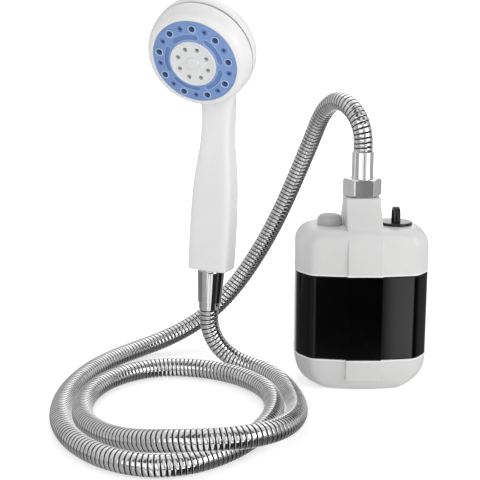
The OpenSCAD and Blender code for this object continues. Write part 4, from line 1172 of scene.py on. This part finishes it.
# pale floor, soft studio light; each row of the surroundings is a list of (compass heading, tone), where 0.5
# is the heading from the pump to the camera, and holds up to the height given with it, softened by the number
# after it
studio = dict(floorSize=6.0, floorTone=0.9, floorVary=0.02, floorCloud=3.0, glowNear=0.5, glowFar=1.1,
              glowAround=0.1, glowReach=(0.25, 0.8), cameraWhite=1.4, worldStrength=0.75,
              rows=((-0.335, 0.006,
                     ((0.0, 1.2), (0.04, 0.5), (0.1, 0.5), (0.18, 0.4), (0.28, 0.55), (0.42, 0.62),
                      (0.435, 1.4), (0.483, 1.4), (0.488, 0.6), (0.497, 0.6), (0.502, 1.4), (0.54, 1.4),
                      (0.55, 0.03), (0.64, 0.03), (0.68, 0.14), (0.85, 0.2), (0.95, 0.5), (1.0, 1.2))),
                    (-0.2, 0.02,
                     ((0.0, 1.2), (0.04, 0.6), (0.08, 0.4), (0.15, 0.3), (0.26, 0.25), (0.29, 0.55),
                      (0.395, 0.6), (0.405, 1.3), (0.43, 1.3), (0.44, 0.06), (0.48, 0.03), (0.5, 0.0),
                      (0.545, 0.0), (0.56, 1.6), (0.575, 3.0), (0.6, 3.6), (0.62, 1.6), (0.63, 0.05),
                      (0.69, 0.05), (0.72, 0.16), (0.8, 0.3), (0.9, 0.3), (0.95, 0.8), (1.0, 1.2))),
                    (0.47, 0.12,
                     ((0.0, 1.2), (0.04, 0.5), (0.1, 0.66), (0.2, 0.74), (0.3, 0.6), (0.44, 0.55),
                      (0.455, 1.45), (0.51, 1.45), (0.517, 0.32), (0.534, 0.32), (0.542, 1.05), (0.65, 0.95),
                      (0.67, 0.56), (0.8, 0.66), (0.88, 0.6), (0.95, 0.4), (0.96, 1.9), (0.99, 1.9),
                      (1.0, 1.2))),
                    (None, 0,
                     ((0.0, 1.3), (0.2, 1.0), (0.33, 1.0), (0.36, 0.15), (0.46, 0.1), (0.5, 1.1),
                      (0.58, 1.1), (0.62, 0.2), (0.7, 0.2), (0.75, 1.1), (1.0, 1.3)))),
              lights=(((-0.7, -1.1, 0.55), (0.8, 0.8), 2.1), ((1.0, -0.7, 0.5), (0.8, 0.8), 5.4),
                      ((0.1, 0.8, 1.2), (1.2, 0.6), 1.6)),
              aim=(-0.06, 0.0, 0.1))


def makeFloor(s):
    # a flat square of pale paper; to the camera it glows more with the distance from the pump
    half = s["floorSize"] / 2 / mm
    points = np.array([[(-half, -half, 0), (half, -half, 0)], [(-half, half, 0), (half, half, 0)]], float)
    floor = makePiece("floor", [surface(points, wrapCols=False)])
    f = Finish("floorPaper", Roughness=0.85, Emission_Strength=1.0)
    tone = f.noise(f.coords, s["floorCloud"])
    f.into("Base Color", f.mix(tone, grey(s["floorTone"]), grey(s["floorTone"] + s["floorVary"])))
    away = f.add("VectorMath")
    away.operation = "LENGTH"
    f.feed(away.inputs[0], f.coords)
    glow = f.range(away.outputs["Value"], *s["glowReach"])
    shown = f.mix(glow, grey(s["glowNear"]), grey(s["glowFar"]))
    toCamera = f.add("LightPath").outputs["Is Camera Ray"]
    f.into("Emission Color", f.mix(toCamera, grey(s["glowAround"]), shown))
    dress(floor, f)
    floor.visible_glossy = False


def headingRamp(w, heading, bands):
    # tone by heading, straight between the points of the bands
    ramp = w.add("ValToRGB")
    while len(ramp.color_ramp.elements) < len(bands):
        ramp.color_ramp.elements.new(0.5)
    for element, (at, tone) in zip(ramp.color_ramp.elements, bands):
        element.position, element.color = at, (*grey(tone), 1)
    w.feed(ramp.inputs["Fac"], heading)
    return ramp.outputs["Color"]


def makeWorld(s):
    # tone by compass heading, a row of headings for each range of height; plain white to the camera
    world = bpy.data.worlds.new("studio")
    scene.world = world
    world.use_nodes = True
    w = Nodes(world.node_tree)
    axes = w.axes(w.add("TexCoord").outputs["Generated"])
    angle = w.math("ARCTAN2", axes["X"], w.math("MULTIPLY", axes["Y"], -1.0))
    heading = w.range(angle, -math.pi, math.pi)
    rows = s["rows"]
    tone = headingRamp(w, heading, rows[0][2])
    for (height, soft, _), (_, _, bands) in zip(rows, rows[1:]):
        above = w.range(axes["Z"], height - soft, height + soft)
        tone = w.mix(above, tone, headingRamp(w, heading, bands))
    back = w.nodes["Background"]
    toCamera = w.add("LightPath").outputs["Is Camera Ray"]
    w.feed(back.inputs["Color"], w.mix(toCamera, tone, grey(s["cameraWhite"])))
    back.inputs["Strength"].default_value = s["worldStrength"]


def makeLights(s):
    # soft boxes turned to the aim: tilt by how far up they hang, turn by their compass heading
    for number, (spot, size, power) in enumerate(s["lights"]):
        data = bpy.data.lights.new("softbox%d" % number, "AREA")
        data.shape, data.size, data.size_y, data.energy = "RECTANGLE", size[0], size[1], power
        light = bpy.data.objects.new(data.name, data)
        away = unit(np.array(spot) - np.array(s["aim"]))
        light.location = spot
        light.rotation_euler = (math.acos(away[2]), 0, math.atan2(away[0], -away[1]))
        scene.collection.objects.link(light)


makeFloor(studio)
makeWorld(studio)
makeLights(studio)
scene.view_settings.view_transform = "Standard"
scene.view_settings.look = "None"
